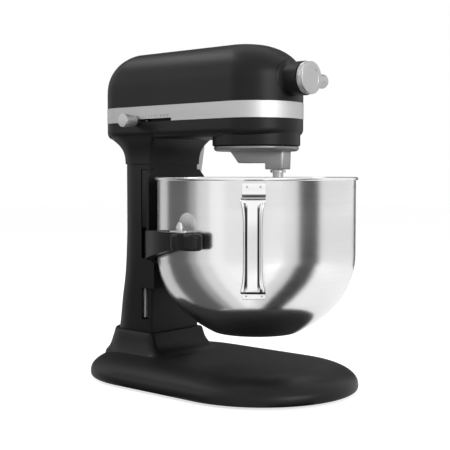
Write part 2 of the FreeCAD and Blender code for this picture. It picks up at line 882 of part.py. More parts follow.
    # Lug that reaches through the column's front to the crank
    web = sketch_on(body, "XY_Plane", d.arm_root)
    web_front = d.bowl_x - root(d.yoke_inner * d.yoke_inner - d.lug_tall * d.lug_tall)
    rectangle(web, d.column_front + d.yoke_gap, web_front - 1, -d.lug_tall, d.lug_tall)
    pad(body, web, lug_z + d.lug_tall / 2 - d.arm_root)
    lug = sketch_on(body, "XZ_Plane")
    lug_end = d.lever_x - d.crank_throw - d.crank_pin - d.lug_end
    rectangle(lug, lug_end, d.column_front + 2, lug_z - d.lug_tall / 2, lug_z + d.lug_tall / 2)
    pad(body, lug, d.lug_thick, side="Symmetric")
    slot = sketch_on(body, "XZ_Plane")
    tall = d.crank_pin + d.crank_slack
    slot_rear = d.lever_x - d.crank_throw - tall
    slot_front = d.lever_x - d.crank_throw * math.cos(math.radians(crank_angle)) + tall
    rectangle(slot, slot_rear, slot_front, lug_z - tall, lug_z + tall)
    pocket(body, slot, d.lug_thick + 2, side="Symmetric")
    sockets = sketch_on(body, "XY_Plane", d.yoke_top)
    for side in (-1, 1):
        circle(sockets, d.bowl_x, side * d.pin_y, d.pin_radius - 1 + d.running_gap)
    pocket(body, sockets, d.pin_root)


# Tapered pins that the ears of the bowl drop over
def locating_pins():
    base = d.pin_radius
    stem = d.pin_radius - 1
    points = [(0.0, -d.pin_root), (stem, -d.pin_root), (stem, 0.0), (base, 0.0), (base, d.pin_height * 0.45),
              (base * 0.55, d.pin_height * 0.92), (base * 0.3, d.pin_height), (0.0, d.pin_height)]
    pins = []
    for side, name in ((-1, "right"), (1, "left")):
        body = doc.addObject("PartDesign::Body", "pin_" + name)
        sketch = sketch_on(body, "XZ_Plane")
        polygon(sketch, points)
        spin(body, sketch)
        place(body, d.bowl_x, side * d.pin_y, d.yoke_top)
        pins.append(body)
    keep(group("locating_pins", pins), "locating_pins")


# Bowl section: upright wall, two tangent sweeps and a flat foot
bend_centre = d.bowl_radius - d.bowl_bend


def bowl_wall_at(height):
    drop = d.bowl_belly - height
    return bend_centre + root(d.bowl_bend * d.bowl_bend - drop * drop)


def bowl():
    wall = float(d.bowl_wall)
    bend = float(d.bowl_bend)
    sweep = float(d.bowl_sweep)
    turn = math.radians(d.bowl_turn)
    centre = Vector(bend_centre, 0, d.bowl_belly)
    away = Vector(math.cos(turn), 0, -math.sin(turn))
    sweep_centre = centre + away * (bend - sweep)

    def on_bend(offset, angle):
        ray = Vector(math.cos(angle), 0, -math.sin(angle))
        return centre + ray * (bend - offset)

    def on_sweep(offset, radius):
        size = sweep - offset
        side = radius - sweep_centre.x
        return Vector(radius, 0, sweep_centre.z - math.sqrt(size * size - side * side))

    def half(offset, foot):
        top = Vector(d.bowl_radius - offset, 0, d.bowl_rim)
        belly = on_bend(offset, 0)
        meet = on_bend(offset, turn)
        end = on_sweep(offset, foot)
        middle = on_sweep(offset, (meet.x + end.x) / 2)
        edges = [Part.LineSegment(top, belly).toShape(),
                 Part.Arc(belly, on_bend(offset, turn / 2), meet).toShape(),
                 Part.Arc(meet, middle, end).toShape()]
        return edges, top, end

    outside, top_out, end_out = half(0.0, float(d.bowl_foot))
    inside, top_in, end_in = half(wall, float(d.bowl_foot))
    floor = float(d.bowl_floor)
    foot = [end_out, Vector(end_out.x - 1.5, 0, floor), Vector(0, 0, floor), Vector(0, 0, end_in.z), end_in]
    loop = outside + [Part.LineSegment(a, b).toShape() for a, b in zip(foot, foot[1:])]
    loop += inside + [Part.LineSegment(top_in, top_out).toShape()]
    section = Part.Face(Part.Wire(Part.__sortEdges__(loop)))
    shell = section.revolve(Vector(0, 0, 0), Vector(0, 0, 1), 360)
    bead_ring = d.bowl_radius - wall / 2 + d.bead_radius * 0.6
    bead = Part.makeTorus(bead_ring, d.bead_radius, Vector(0, 0, d.bowl_rim))
    item = shaped("bowl", shell.fuse(bead).removeSplitter())
    item.Placement = FreeCAD.Placement(Vector(d.bowl_x, 0, 0), Rotation())


# Strap handle: a bent strip with a wide plate at each end against the bowl
def bowl_handle():
    body = new_body("bowl_handle")
    thick = d.handle_thick
    grip = d.bowl_radius + d.handle_reach
    skin = d.bowl_radius + d.seat_gap
    top = d.handle_top
    low = d.handle_low
    leg = d.handle_leg
    join = low + leg * 0.55 + thick
    low_join = bowl_wall_at(join) + d.seat_gap
    low_end = bowl_wall_at(low) + d.seat_gap
    bend = leg * 0.5
    strap = sketch_on(body, "XZ_Plane")
    polygon(strap, [
        (skin, top), (skin + thick, top), (skin + thick, top - leg), (grip - bend, top - leg - 2),
        (grip, top - leg - bend - 2), (grip, low + leg + bend), (grip - bend, low + leg),
        (low_join + thick, join - thick), (low_end + thick, low), (low_end, low),
        (low_join, join), (grip - bend - thick, low + leg + thick),
        (grip - thick, low + leg + bend + thick), (grip - thick, top - leg - bend - 2 - thick),
        (grip - bend - thick, top - leg - 2 - thick), (skin, top - leg - thick)])
    pad(body, strap, d.handle_width, side="Symmetric")
    plates = sketch_on(body, "XZ_Plane")
    rectangle(plates, skin, skin + thick, top - leg * 0.9, top)
    polygon(plates, [(low_end, low), (low_end + thick, low), (low_join + thick, join - thick),
                     (low_join, join)])
    pad(body, plates, d.handle_plate, side="Symmetric")
    place(body, d.bowl_x, 0.0, 0.0, Rotation(Vector(0, 0, 1), float(d.handle_turn)))


# Ears at both sides of the bowl: a half-round plate on the wall and a drilled shelf on the yoke's pad
def bowl_ears():
    ears = []
    for side, name in ((-1, "right"), (1, "left")):
        body = doc.addObject("PartDesign::Body", "ear_" + name)
        low = d.yoke_top + d.seat_gap
        shelf = sketch_on(body, "XY_Plane", low)
        half = d.ear_width / 2
        wall = side * d.bowl_radius
        tip = side * (d.pin_y + d.pin_radius + 2.5)
        bevel = d.ear_corner
        corner = side * (d.pin_y + d.pin_radius - 3.5)
        polygon(shelf, [(-half, wall), (half, wall), (half, corner), (half - bevel, tip),
                        (bevel - half, tip), (-half, corner)])
        circle(shelf, 0.0, side * d.pin_y, d.pin_radius + d.seat_gap)
        pad(body, shelf, d.ear_thick)
        plate = sketch_on(body, "XZ_Plane", -wall)
        centre = low + d.ear_height - half
        rectangle(plate, -half, half, low, centre)
        pad(body, plate, d.ear_thick, reverse=side > 0)
        crown = sketch_on(body, "XZ_Plane", -wall)
        circle(crown, 0.0, centre, half)
        pad(body, crown, d.ear_thick, reverse=side > 0)
        place(body, d.bowl_x, 0.0, 0.0)
        ears.append(body)
    keep(group("bowl_ears", ears), "bowl_ears")


bush_flange = bush_radius + d.bush_wall
bush_end = column_half + d.lever_stand
lever_face = bush_end + d.lever_stand


# Bronze bush in the column's side that the lever shaft turns in
def lever_bush():
    bore = d.lever_shaft + d.running_gap
    inside = column_half - d.column_wall - 2
    points = [(bore, inside), (bush_radius, inside), (bush_radius, column_half + d.seat_gap),
              (bush_flange, column_half + d.seat_gap), (bush_flange, bush_end), (bore, bush_end)]
    turned("lever_bush", points, d.lever_x, 0.0, d.lever_z, along_y)


# Lever shaft with its crank: the pin slides in the yoke's slot as the lever swings
def lift_crank():
    inner = d.lug_thick / 2 + 1
    throw = d.crank_throw
    shaft = rod("crank_shaft", d.lever_shaft, lever_face - inner, d.lever_x, inner, d.lever_z, along_y)
    pin_x = d.lever_x - throw * math.cos(math.radians(crank_angle))
    pin = rod("crank_pin_rod", d.crank_pin, d.lug_thick + 3, pin_x, -d.lug_thick / 2 - 1, lug_z, along_y)
    eye = rod("crank_eye", d.crank_pin + d.crank_rim, d.crank_thick, pin_x, inner, lug_z, along_y)
    hub = rod("crank_hub", d.lever_shaft + d.crank_rim, d.crank_thick, d.lever_x, inner, d.lever_z, along_y)
    arm = doc.addObject("Part::Box", "crank_arm")
    wide = 2 * (d.crank_pin + d.crank_rim) - 2
    bind(arm, "Length", throw)
    bind(arm, "Width", d.crank_thick)
    bind(arm, "Height", wide)
    tilt = Rotation(Vector(0, 1, 0), crank_angle - 180)
    corner = tilt.multVec(Vector(0, 0, -wide / 2))
    place(arm, d.lever_x + corner.x, inner, d.lever_z + corner.z, tilt)
    keep(fused("lift_crank", [shaft, pin, eye, hub, arm]), "lift_crank")


# Lift lever: a flat bar with round ends and a thicker grip
def lift_lever():
    body = new_body("lift_lever")
    half = d.lever_wide / 2
    bar = sketch_on(body, "XY_Plane")
    round_outline(bar, 0.0, d.lever_length, half)
    pad(body, bar, d.lever_thick)
    grip = sketch_on(body, "XY_Plane", d.lever_thick)
    round_outline(grip, d.lever_length * 0.55, d.lever_length, half)
    pad(body, grip, d.lever_thick)
    stand = FreeCAD.Placement(Vector(), Rotation(Vector(0, 1, 0), -float(d.lever_lean)))
    flat = FreeCAD.Placement(Vector(), Rotation(Vector(1, 0, 0), -90))
    turn = stand.multiply(flat).Rotation
    place(body, d.lever_x, lever_face, d.lever_z, turn)


bowl_yoke()
locating_pins()
bowl()
bowl_handle()
bowl_ears()
lever_bush()
lift_crank()
lift_lever()


# Plan outline of the head at one height: straight sides with an elliptical nose and tail
head_half = d.head_width / 2


def quarter(centre, along, across, turn):
    angles = [turn * math.pi / 2, (turn + 0.5) * math.pi / 2, (turn + 1) * math.pi / 2]
    points = [Vector(centre.x + along * math.cos(a), across * math.sin(a), centre.z) for a in angles]
    if along >= across:
        curve = Part.Ellipse(centre + Vector(along, 0, 0), centre + Vector(0, across, 0), centre)
    else:
        curve = Part.Ellipse(centre + Vector(0, across, 0), centre - Vector(along, 0, 0), centre)
    start = curve.parameter(points[0])
    end = curve.parameter(points[2])
    if end < start:
        end += 2 * math.pi
    return Part.ArcOfEllipse(curve, start, end).toShape()


def head_loop(height, side=0.0, front=None, rear=None):
    half = float(head_half - side)
    share = half / head_half
    nose = float(d.head_front_round) * share
    tail = float(d.head_rear_round) * share
    nose_centre = Vector(d.head_front - (side if front is None else front) - nose, 0, height)
    tail_centre = Vector(d.head_rear + (side if rear is None else rear) + tail, 0, height)
    across = Vector(0, half, 0)
    edges = [quarter(nose_centre, nose, half, 0),
             Part.LineSegment(nose_centre + across, tail_centre + across).toShape(),
             quarter(tail_centre, tail, half, 1),
             quarter(tail_centre, tail, half, 2),
             Part.LineSegment(tail_centre - across, nose_centre - across).toShape(),
             quarter(nose_centre, nose, half, 3)]
    return Part.Wire(edges)


def head_prism(low, high, side):
    return Part.Face(head_loop(low, side)).extrude(Vector(0, 0, high - low))


def neck_loop(height, front, rear, half):
    c = float(d.column_corner)
    centre = rear + half
    low = [Vector(centre, -half, height), Vector(front - c, -half, height), Vector(front, c - half, height)]
    high = [Vector(front, half - c, height), Vector(front - c, half, height), Vector(centre, half, height)]
    bow = c * (1 - math.sqrt(0.5))
    corner_low = Part.Arc(low[1], Vector(front - bow, bow - half, height), low[2]).toShape()
    corner_high = Part.Arc(high[0], Vector(front - bow, half - bow, height), high[1]).toShape()
    back = Part.Arc(high[2], Vector(rear, 0, height), low[0]).toShape()
    return Part.Wire([Part.LineSegment(low[0], low[1]).toShape(), corner_low,
                      Part.LineSegment(low[2], high[0]).toShape(), corner_high,
                      Part.LineSegment(high[1], high[2]).toShape(), back])


skirt = d.band_thick - d.band_proud + d.running_gap
slide_wall = head_half - d.head_wall - skirt - 2
slot_z0 = d.speed_z - d.speed_stem - d.seat_gap
slot_z1 = d.speed_z + d.speed_stem + d.seat_gap


# Speed lever's slot through the near wall
def speed_slot(low):
    return solid_block(d.slot_rear, d.slot_front, -head_half - 5, d.head_wall * 2 - head_half, low, slot_z1)


# Lower head casting: belly, neck that sweeps into the column, and the round collar of the drive
def head_housing():
    belly = head_prism(d.head_under, d.band_low, 0.0)
    rim = [edge for edge in belly.Edges if level_at(d.head_under)(edge)]
    belly = belly.makeFillet(d.belly_round, rim)
    rise = d.head_under + d.belly_round / 2 - d.column_top
    overhang = column_rear - d.head_rear
    spread = head_half - column_half
    sections = []
    for share, grow in ((0.0, 0.0), (0.27, 0.04), (0.45, 0.13), (0.64, 0.32), (0.82, 0.62), (1.0, 0.95)):
        front = d.column_front + d.neck_lip + d.neck_ahead * grow
        rear = column_rear - d.neck_lip - overhang * grow
        half = column_half + d.neck_lip + (spread - d.neck_lip) * grow
        sections.append(neck_loop(d.column_top + rise * share, front, rear, half))
    neck = Part.makeLoft(sections, True, False)
    collar = solid_rod(d.collar_radius, d.collar_low, d.head_floor, d.bowl_x, axis="z")
    collar = collar.makeFillet(d.collar_edge, [edge for edge in collar.Edges if level_at(d.collar_low)(edge)])
    wall = head_prism(d.band_low - 1, d.seam_height, skirt)
    solid = belly.fuse([neck, collar, wall])
    room = head_prism(d.head_floor, d.seam_height, d.head_wall + skirt)
    well = solid_rod(d.collar_bore, d.collar_low, d.head_under, d.bowl_x, axis="z")
    shaft_hole = solid_rod(d.bearing_radius + d.running_gap, d.head_under, d.head_floor, d.bowl_x, axis="z")
    passage = solid_rod(d.neck_passage, d.column_top, d.head_floor, d.lever_x - 8, axis="z")
    solid = solid.cut([room, well, shaft_hole, passage, speed_slot(slot_z0)])
    shaped("head_housing", solid.removeSplitter())


# Head over the band: upright walls, then quarter curves that start lower at the rear than at the sides
def shoulder(extra):
    sections = []
    base = d.head_top - d.shoulder_side
    rear_base = base - d.shoulder_dip
    rear_tall = d.head_top - extra - rear_base
    tall = d.shoulder_side - extra
    levels = [rear_base + d.shoulder_dip * share for share in (0, 0.33, 0.67)]
    levels += [base + tall * math.sin(math.radians(angle)) for angle in (0, 10, 22, 36, 50, 64, 78, 90)]
    for height in levels:
        drop = 1 - math.sqrt(max(0.0, 1 - (max(0.0, height - base) / tall) ** 2))
        rear_drop = 1 - math.sqrt(max(0.0, 1 - ((height - rear_base) / rear_tall) ** 2))
        side = extra + tall * drop
        front = extra + (d.shoulder_front - extra) * drop
        rear = extra + (d.shoulder_rear - extra) * rear_drop
        sections.append(head_loop(height, side, front, rear))
    return head_prism(d.band_high, rear_base, extra).fuse(Part.makeLoft(sections, True, False))


# Turned boss of the attachment hub, flaring where it meets the head
def hub_boss():
    r = float(d.hub_radius)
    flare = float(d.hub_flare)
    start = d.head_front - flare
    bow = flare * (1 - math.sqrt(0.5))
    low = Vector(start, r + flare, 0)
    high = Vector(start + 1.6 * flare, r, 0)
    turn = Part.Arc(low, Vector(start + 0.6 * flare, r + bow, 0), high).toShape()
    corners = [high, Vector(d.hub_face, r, 0), Vector(d.hub_face, 0, 0), Vector(d.hub_core, 0, 0),
               Vector(d.hub_core, r, 0), Vector(start, r, 0), low]
    lines = [Part.LineSegment(a, b).toShape() for a, b in zip(corners, corners[1:])]
    face = Part.Face(Part.Wire([turn] + lines))
    boss = face.revolve(Vector(), Vector(1, 0, 0), 360)
    boss.translate(Vector(0, 0, d.hub_height))
    return boss


# Top cover: one casting with the hub boss and the lug for the clamp screw
def head_cover():
    wall = float(d.head_wall)
    skin = shoulder(0.0)
    hem = head_prism(d.seam_height, d.band_high + 1, skirt)
    room = shoulder(wall)
    gap = head_prism(d.seam_height, d.band_high + 1, wall + skirt)
    shell = skin.fuse(hem).cut(room.fuse(gap))
    lug_end = d.clamp_start - d.seat_gap
    lug = solid_rod(d.clamp_boss, 0.0, lug_end, d.clamp_x, 0.0, d.hub_height, axis="y")
    shell = shell.fuse([hub_boss(), lug])
    bore = solid_rod(d.hub_bore, d.hub_face - d.hub_depth, d.hub_face, 0.0, 0.0, d.hub_height)
    shaft = solid_rod(d.pto_bearing + d.running_gap, d.hub_core - 1, d.hub_face, 0.0, 0.0, d.hub_height)
    thread = solid_rod(d.clamp_screw + d.running_gap, 0.0, lug_end, d.clamp_x, 0.0, d.hub_height, axis="y")
    shaped("head_cover", shell.cut([bore, shaft, thread]).removeSplitter())


# Trim band round the seam, notched for the speed lever
def trim_band():
    outer = head_prism(d.band_low, d.band_high, -d.band_proud)
    inner = head_prism(d.band_low - 1, d.band_high + 1, d.band_thick - d.band_proud)
    shaped("trim_band", outer.cut([inner, speed_slot(d.band_low - 1)]))


# Speed lever: a tapered knob on a stem, and the slide behind the wall
def speed_lever():
    neck = d.speed_neck
    knob = d.speed_radius
    start = head_half + d.band_proud + 1
    inside = slide_wall
    end = d.speed_reach
    points = [(0.0, inside), (d.speed_stem, inside), (d.speed_stem, start), (neck, start),
              (neck, start + 1.5), (knob, end - 6.0), (knob, end - 1.0), (knob - 1, end), (0.0, end)]
    towards = Rotation(Vector(1, 0, 0), 90)
    turned("speed_lever", points, d.speed_x, 0.0, d.speed_z, towards)
    half = d.slide_length / 2
    tall = d.slide_tall / 2
    slide = block("speed_slide", d.speed_x - half, d.speed_x + half, -inside, d.slide_thick - inside,
                  d.speed_z - tall, d.speed_z + tall)
    keep(slide, "speed_slide")


# Hub cap and clamp screw
def hub_trim():
    r = d.cap_radius
    chamfer = d.cap_rim
    t = d.cap_thick
    points = [(0.0, 0.0), (r - chamfer, 0.0), (r, chamfer), (r, t - 2.5 * chamfer),
              (r - chamfer, t - chamfer), (r - 2 * chamfer, t), (0.0, t)]
    turned("hub_cap", points, d.hub_face + d.seat_gap, 0.0, d.hub_height, along_x)
    k = d.clamp_radius
    edge = d.clamp_edge
    tip = d.hub_bore + 1
    points = [(0.0, tip), (d.clamp_screw, tip), (d.clamp_screw, d.clamp_start), (k - edge, d.clamp_start),
              (k, d.clamp_start + edge), (k, d.clamp_end - edge), (k - edge, d.clamp_end), (0.0, d.clamp_end)]
    turned("clamp_screw", points, d.clamp_x, 0.0, d.hub_height, along_y)


head_housing()
head_cover()
trim_band()
speed_lever()
hub_trim()


# Involute teeth: half the angle that a tooth fills at one radius
pressure = math.radians(20)
turn_at_pitch = math.tan(pressure) - pressure


def half_tooth(teeth, module, radius, play):
    pitch = teeth * module / 2
    slope = math.acos(min(1.0, pitch * math.cos(pressure) / radius))
    thin = math.pi / (2 * teeth) - play / (2 * pitch)
    return thin + turn_at_pitch - math.tan(slope) + slope


def gear_face(teeth, module, inner, outer, play, turn=0.0):
    teeth = int(teeth)
    radii = (float(inner), teeth * module / 2.0, float(outer))
    points = []
    for tooth in range(teeth):
        middle = 2 * math.pi * tooth / teeth + turn
        half = [half_tooth(teeth, float(module), r, float(play)) for r in radii]
        flank = list(zip(radii, half))
        for r, angle in [(r, -a) for r, a in flank] + [(r, a) for r, a in reversed(flank)]:
            points.append(Vector(r * math.cos(middle + angle), r * math.sin(middle + angle), 0))
    return Part.Face(Part.makePolygon(points + points[:1]))


tooth_out = 0.9 * d.gear_module
tooth_in = 1.2 * d.gear_module
ring_pitch = d.ring_teeth * d.gear_module / 2
planet_pitch = d.planet_teeth * d.gear_module / 2
planet_offset = ring_pitch - planet_pitch
rest_turn = math.radians(d.planet_rest)
planet_x = d.bowl_x + planet_offset * math.cos(rest_turn)
planet_y = planet_offset * math.sin(rest_turn)
press_gap = d.running_gap / 3


# Fixed internal gear under the head floor, and the planet that rolls round it
def ring_gear():
    low = d.head_under - d.ring_thick
    blank = solid_rod(d.collar_bore - d.seat_gap, low, d.head_under, d.bowl_x, axis="z")
    inner = ring_pitch - tooth_out
    teeth = gear_face(d.ring_teeth, d.gear_module, inner, ring_pitch + tooth_in, -d.gear_play, rest_turn)
    space = teeth.extrude(Vector(0, 0, d.ring_thick))
    space.translate(Vector(d.bowl_x, 0, low))
    shaped("ring_gear", blank.cut(space))


def planet_gear():
    inner = planet_pitch - tooth_in
    teeth = gear_face(d.planet_teeth, d.gear_module, inner, planet_pitch + tooth_out, d.gear_play, rest_turn)
    gear = teeth.extrude(Vector(0, 0, d.planet_thick))
    gear = gear.cut(Part.makeCylinder(d.beater_radius + press_gap, d.planet_thick))
    gear.translate(Vector(planet_x, planet_y, d.head_under - d.ring_thick / 2 - d.planet_thick / 2))
    shaped("planet_gear", gear)


# Planetary carrier: a disc with a cast arm below it and the boss of the beater shaft
def planet_carrier():
    body = new_body("planet_carrier")
    disc = sketch_on(body, "XY_Plane", d.carrier_low)
    circle(disc, 0.0, 0.0, d.carrier_radius)
    pad(body, disc, d.carrier_high - d.carrier_low)
    hub = sketch_on(body, "XY_Plane", d.carrier_high)
    circle(hub, 0.0, 0.0, d.carrier_hub)
    pad(body, hub, d.head_under - 1 - d.carrier_high)
    front = planet_offset + d.boss_half
    back = planet_offset - d.boss_half
    slope = (d.carrier_low - d.arm_low) * 0.8
    arm = sketch_on(body, "XZ_Plane")
    polygon(arm, [(-d.arm_tail - slope, d.carrier_low), (-d.arm_tail, d.arm_low), (back, d.arm_low),
                  (back, d.boss_low), (front, d.boss_low), (front, d.carrier_low)])
    post = pad(body, arm, d.arm_wide, side="Symmetric")

    def corner_edge(edge):
        upright = edge.BoundBox.ZLength > d.carrier_low - d.boss_low - 0.1
        return upright and abs(edge.CenterOfMass.x - front) < 0.1

    round_edges(body, post, corner_edge, d.arm_corner)
    seat = sketch_on(body, "XY_Plane", d.carrier_low + 2)
    circle(seat, 0.0, 0.0, d.centre_shaft + press_gap)
    pocket(body, seat, d.head_under - d.carrier_low, reverse=True)
    bore = sketch_on(body, "XY_Plane", d.boss_low)
    circle(bore, planet_offset, 0.0, d.beater_radius + d.running_gap)
    pocket(body, bore, d.carrier_high - d.boss_low, reverse=True)
    place(body, d.bowl_x, 0.0, 0.0, Rotation(Vector(0, 0, 1), float(d.planet_rest)))


# Bright ring that closes the gap between the carrier and the collar
def drip_ring():
    inner = d.carrier_radius + press_gap
    lip = d.drip_lip
    outer = d.drip_radius
    bow = lip * 0.3
    points = [(inner, d.drip_low), (outer - lip, d.drip_low), (outer - bow, d.drip_low + bow),
              (outer, d.drip_low + lip), (outer, d.drip_high), (inner, d.drip_high)]
    turned("drip_ring", points, d.bowl_x)


# Beater shaft with its collar and the cross pin that locks a beater on
def beater_shaft():
    r = d.beater_radius
    collar_high = d.boss_low - d.seat_gap
    collar_low = collar_high - d.collar_thick
    top = d.head_under - 1.5
    waist = r - d.seat_gap
    waist_low = d.drive_pin_z - d.pin_relief
    waist_high = d.drive_pin_z + d.pin_relief
    points = [(0.0, d.beater_end), (r - 1, d.beater_end), (r, d.beater_end + 1), (r, waist_low),
              (waist, waist_low), (waist, waist_high), (r, waist_high), (r, collar_low),
              (d.beater_collar, collar_low), (d.beater_collar, collar_high), (r, collar_high),
              (r, top), (0.0, top)]
    shaft = doc.addObject("PartDesign::Body", "shaft_blank")
    sketch = sketch_on(shaft, "XZ_Plane")
    polygon(sketch, points)
    spin(shaft, sketch)
    across = sketch_on(shaft, "XZ_Plane")
    circle(across, 0.0, d.drive_pin_z, d.drive_pin_radius + press_gap)
    pocket(shaft, across, 4 * r, side="Symmetric")
    place(shaft, planet_x, planet_y)
    keep(shaft, "beater_shaft")
    half = d.drive_pin_length / 2
    start = planet_y - half
    pin = rod("drive_pin", d.drive_pin_radius, d.drive_pin_length, planet_x, start, d.drive_pin_z, along_y)
    keep(pin, "drive_pin")


bearing_top = d.head_floor + d.flange_thick


# Upright shaft between the crown gear and the carrier, with its bearing in the head floor
def centre_shaft():
    r = d.centre_shaft
    shoulder_low = bearing_top + 1
    low = d.carrier_low + 2
    wide = r + d.centre_step
    points = [(0.0, low), (r, low), (r, shoulder_low), (wide, shoulder_low), (wide, d.crown_low),
              (r - 1, d.crown_low), (r - 1, d.centre_top), (0.0, d.centre_top)]
    turned("centre_shaft", points, d.bowl_x)
    bore = r + d.running_gap
    points = [(bore, d.head_under), (d.bearing_radius, d.head_under), (d.bearing_radius, d.head_floor),
              (d.bearing_flange, d.head_floor), (d.bearing_flange, bearing_top), (bore, bearing_top)]
    turned("centre_bearing", points, d.bowl_x)


# Straight bevel gear: its pitch cone opens along +Z from an apex at the origin
def bevel_gear(teeth, mate, bore, back, turn):
    teeth = int(teeth)
    module = float(d.bevel_module)
    cone = math.atan2(teeth, mate)
    length = module * teeth / 2 / math.sin(cone)
    shrink = 1 - d.bevel_face / length
    virtual = teeth / math.cos(cone)
    pitch = module * virtual / 2
    out = 0.7 * module
    inward = 1.0 * module
    levels = (-inward - 0.2 * module, 0.0, out)
    widths = [(pitch + t) * half_tooth(virtual, module, pitch + t, float(d.bevel_play)) for t in levels]
    across = length * math.sin(cone)
    ahead = length * math.cos(cone)
    big = Vector(across - inward * math.cos(cone), 0, ahead + inward * math.sin(cone))
    small = big * shrink
    corners = [Vector(bore, 0, small.z), small, big, Vector(big.x, 0, back), Vector(bore, 0, back)]
    blank = Part.Face(Part.makePolygon(corners + corners[:1])).revolve(Vector(), Vector(0, 0, 1), 360)
    shape = []
    for tooth in range(teeth):
        angle = 2 * math.pi * tooth / teeth + turn
        c, s = math.cos(angle), math.sin(angle)
        middle = Vector(across * c, across * s, ahead)
        outward = Vector(math.cos(cone) * c, math.cos(cone) * s, -math.sin(cone))
        beside = Vector(-s, c, 0)
        flank = list(zip(levels, widths))
        sides = [(t, -w) for t, w in flank] + [(t, w) for t, w in reversed(flank)]
        points = [middle + outward * t + beside * w for t, w in sides]
        ends = [Part.makePolygon([p * k for p in points + points[:1]]) for k in (1.0, shrink)]
        shape.append(Part.makeLoft(ends, True, True))
    return blank.fuse(shape).removeSplitter()


apex = Vector(d.bowl_x, 0, d.hub_height)
half_step = math.pi / int(d.pinion_teeth)


# Crown gear on the upright shaft, driven by the motor pinion behind and driving the hub pinion ahead
def bevel_train():
    bore = d.centre_shaft - 1 + press_gap
    crown = bevel_gear(d.crown_teeth, d.pinion_teeth, bore, d.hub_height - d.crown_low, 0.0)
    item = shaped("crown_gear", crown)
    item.Placement = FreeCAD.Placement(apex, Rotation(Vector(1, 0, 0), 180))
    for label, bore, angle in (("motor_pinion", d.motor_shaft, -90), ("hub_pinion", d.pto_spigot, 90)):
        pinion = bevel_gear(d.pinion_teeth, d.crown_teeth, bore + press_gap, d.pinion_back, half_step)
        item = shaped(label, pinion)
        item.Placement = FreeCAD.Placement(apex, Rotation(Vector(0, 1, 0), angle))


# Power take-off: a short shaft with a square socket, in a bearing behind the hub
def power_take_off():
    socket_floor = d.hub_face - d.hub_depth
    back = d.bowl_x + d.pinion_back
    thin = solid_rod(d.pto_spigot, d.bowl_x + d.pinion_back * 0.7, back, 0.0, 0.0, d.hub_height)
    thick = solid_rod(d.pto_radius, back, socket_floor, 0.0, 0.0, d.hub_height)
    half = d.pto_square / 2
    square = solid_block(back + 2, socket_floor, -half, half, d.hub_height - half, d.hub_height + half)
    shaped("hub_shaft", thin.fuse(thick).cut(square).removeSplitter())
    bore = d.pto_radius + d.running_gap
    long = socket_floor - d.hub_core
    points = [(bore, 0.0), (d.pto_bearing, 0.0), (d.pto_bearing, long), (bore, long)]
    turned("hub_bearing", points, d.hub_core, 0.0, d.hub_height, along_x)


upright = d.cradle_end
axis_z = d.hub_height


# Motor cradle on the head floor, with a stand for the pinion bearing
def motor_mounts():
    half = d.head_width / 2 - d.cradle_clear
    floor = d.head_floor
    saddle = axis_z - d.stator_side / 2
    inner = half - d.cradle_margin
    plate = floor + d.cradle_plate
    pieces = [block("cradle_floor", d.cradle_rear, d.cradle_front, -half, half, floor, plate)]
    for step, x in enumerate((d.cradle_rear, d.cradle_front - upright)):
        high = axis_z + d.bearing_outer + d.cradle_margin
        pieces.append(block(f"cradle_end_{step}", x, x + upright, -inner, inner, floor, high))
    for step, x in enumerate((d.stator_rear + d.saddle_wide, d.stator_front - 2 * d.saddle_wide)):
        pieces.append(block(f"cradle_saddle_{step}", x, x + d.saddle_wide, -inner, inner, floor, saddle))
    long = d.cradle_front - d.cradle_rear
    hole = rod("cradle_bore", d.bearing_outer + press_gap, long, d.cradle_rear, 0.0, axis_z, along_x)
    keep(cut("motor_cradle", fused("cradle_blank", pieces), hole), "motor_cradle")
    stand_half = d.stand_wide / 2
    stand = block("stand_blank", d.stand_x, d.stand_x + d.stand_thick, -stand_half, stand_half, floor,
                  axis_z + d.bearing_outer + d.bearing_wall)
    eye = rod("stand_bore", d.bearing_outer + press_gap, d.stand_thick, d.stand_x, 0.0, axis_z, along_x)
    keep(cut("pinion_stand", stand, eye), "pinion_stand")
    rings = []
    seats = ((d.cradle_rear, upright), (d.cradle_front - upright, upright), (d.stand_x, d.stand_thick))
    for step, (x, wide) in enumerate(seats):
        outer = rod(f"bearing_outer_{step}", d.bearing_outer, wide, x, 0.0, axis_z, along_x)
        inner = rod(f"bearing_inner_{step}", d.motor_shaft + d.running_gap, wide, x, 0.0, axis_z, along_x)
        rings.append(cut(f"bearing_{step}", outer, inner))
    keep(group("motor_bearings", rings), "motor_bearings")


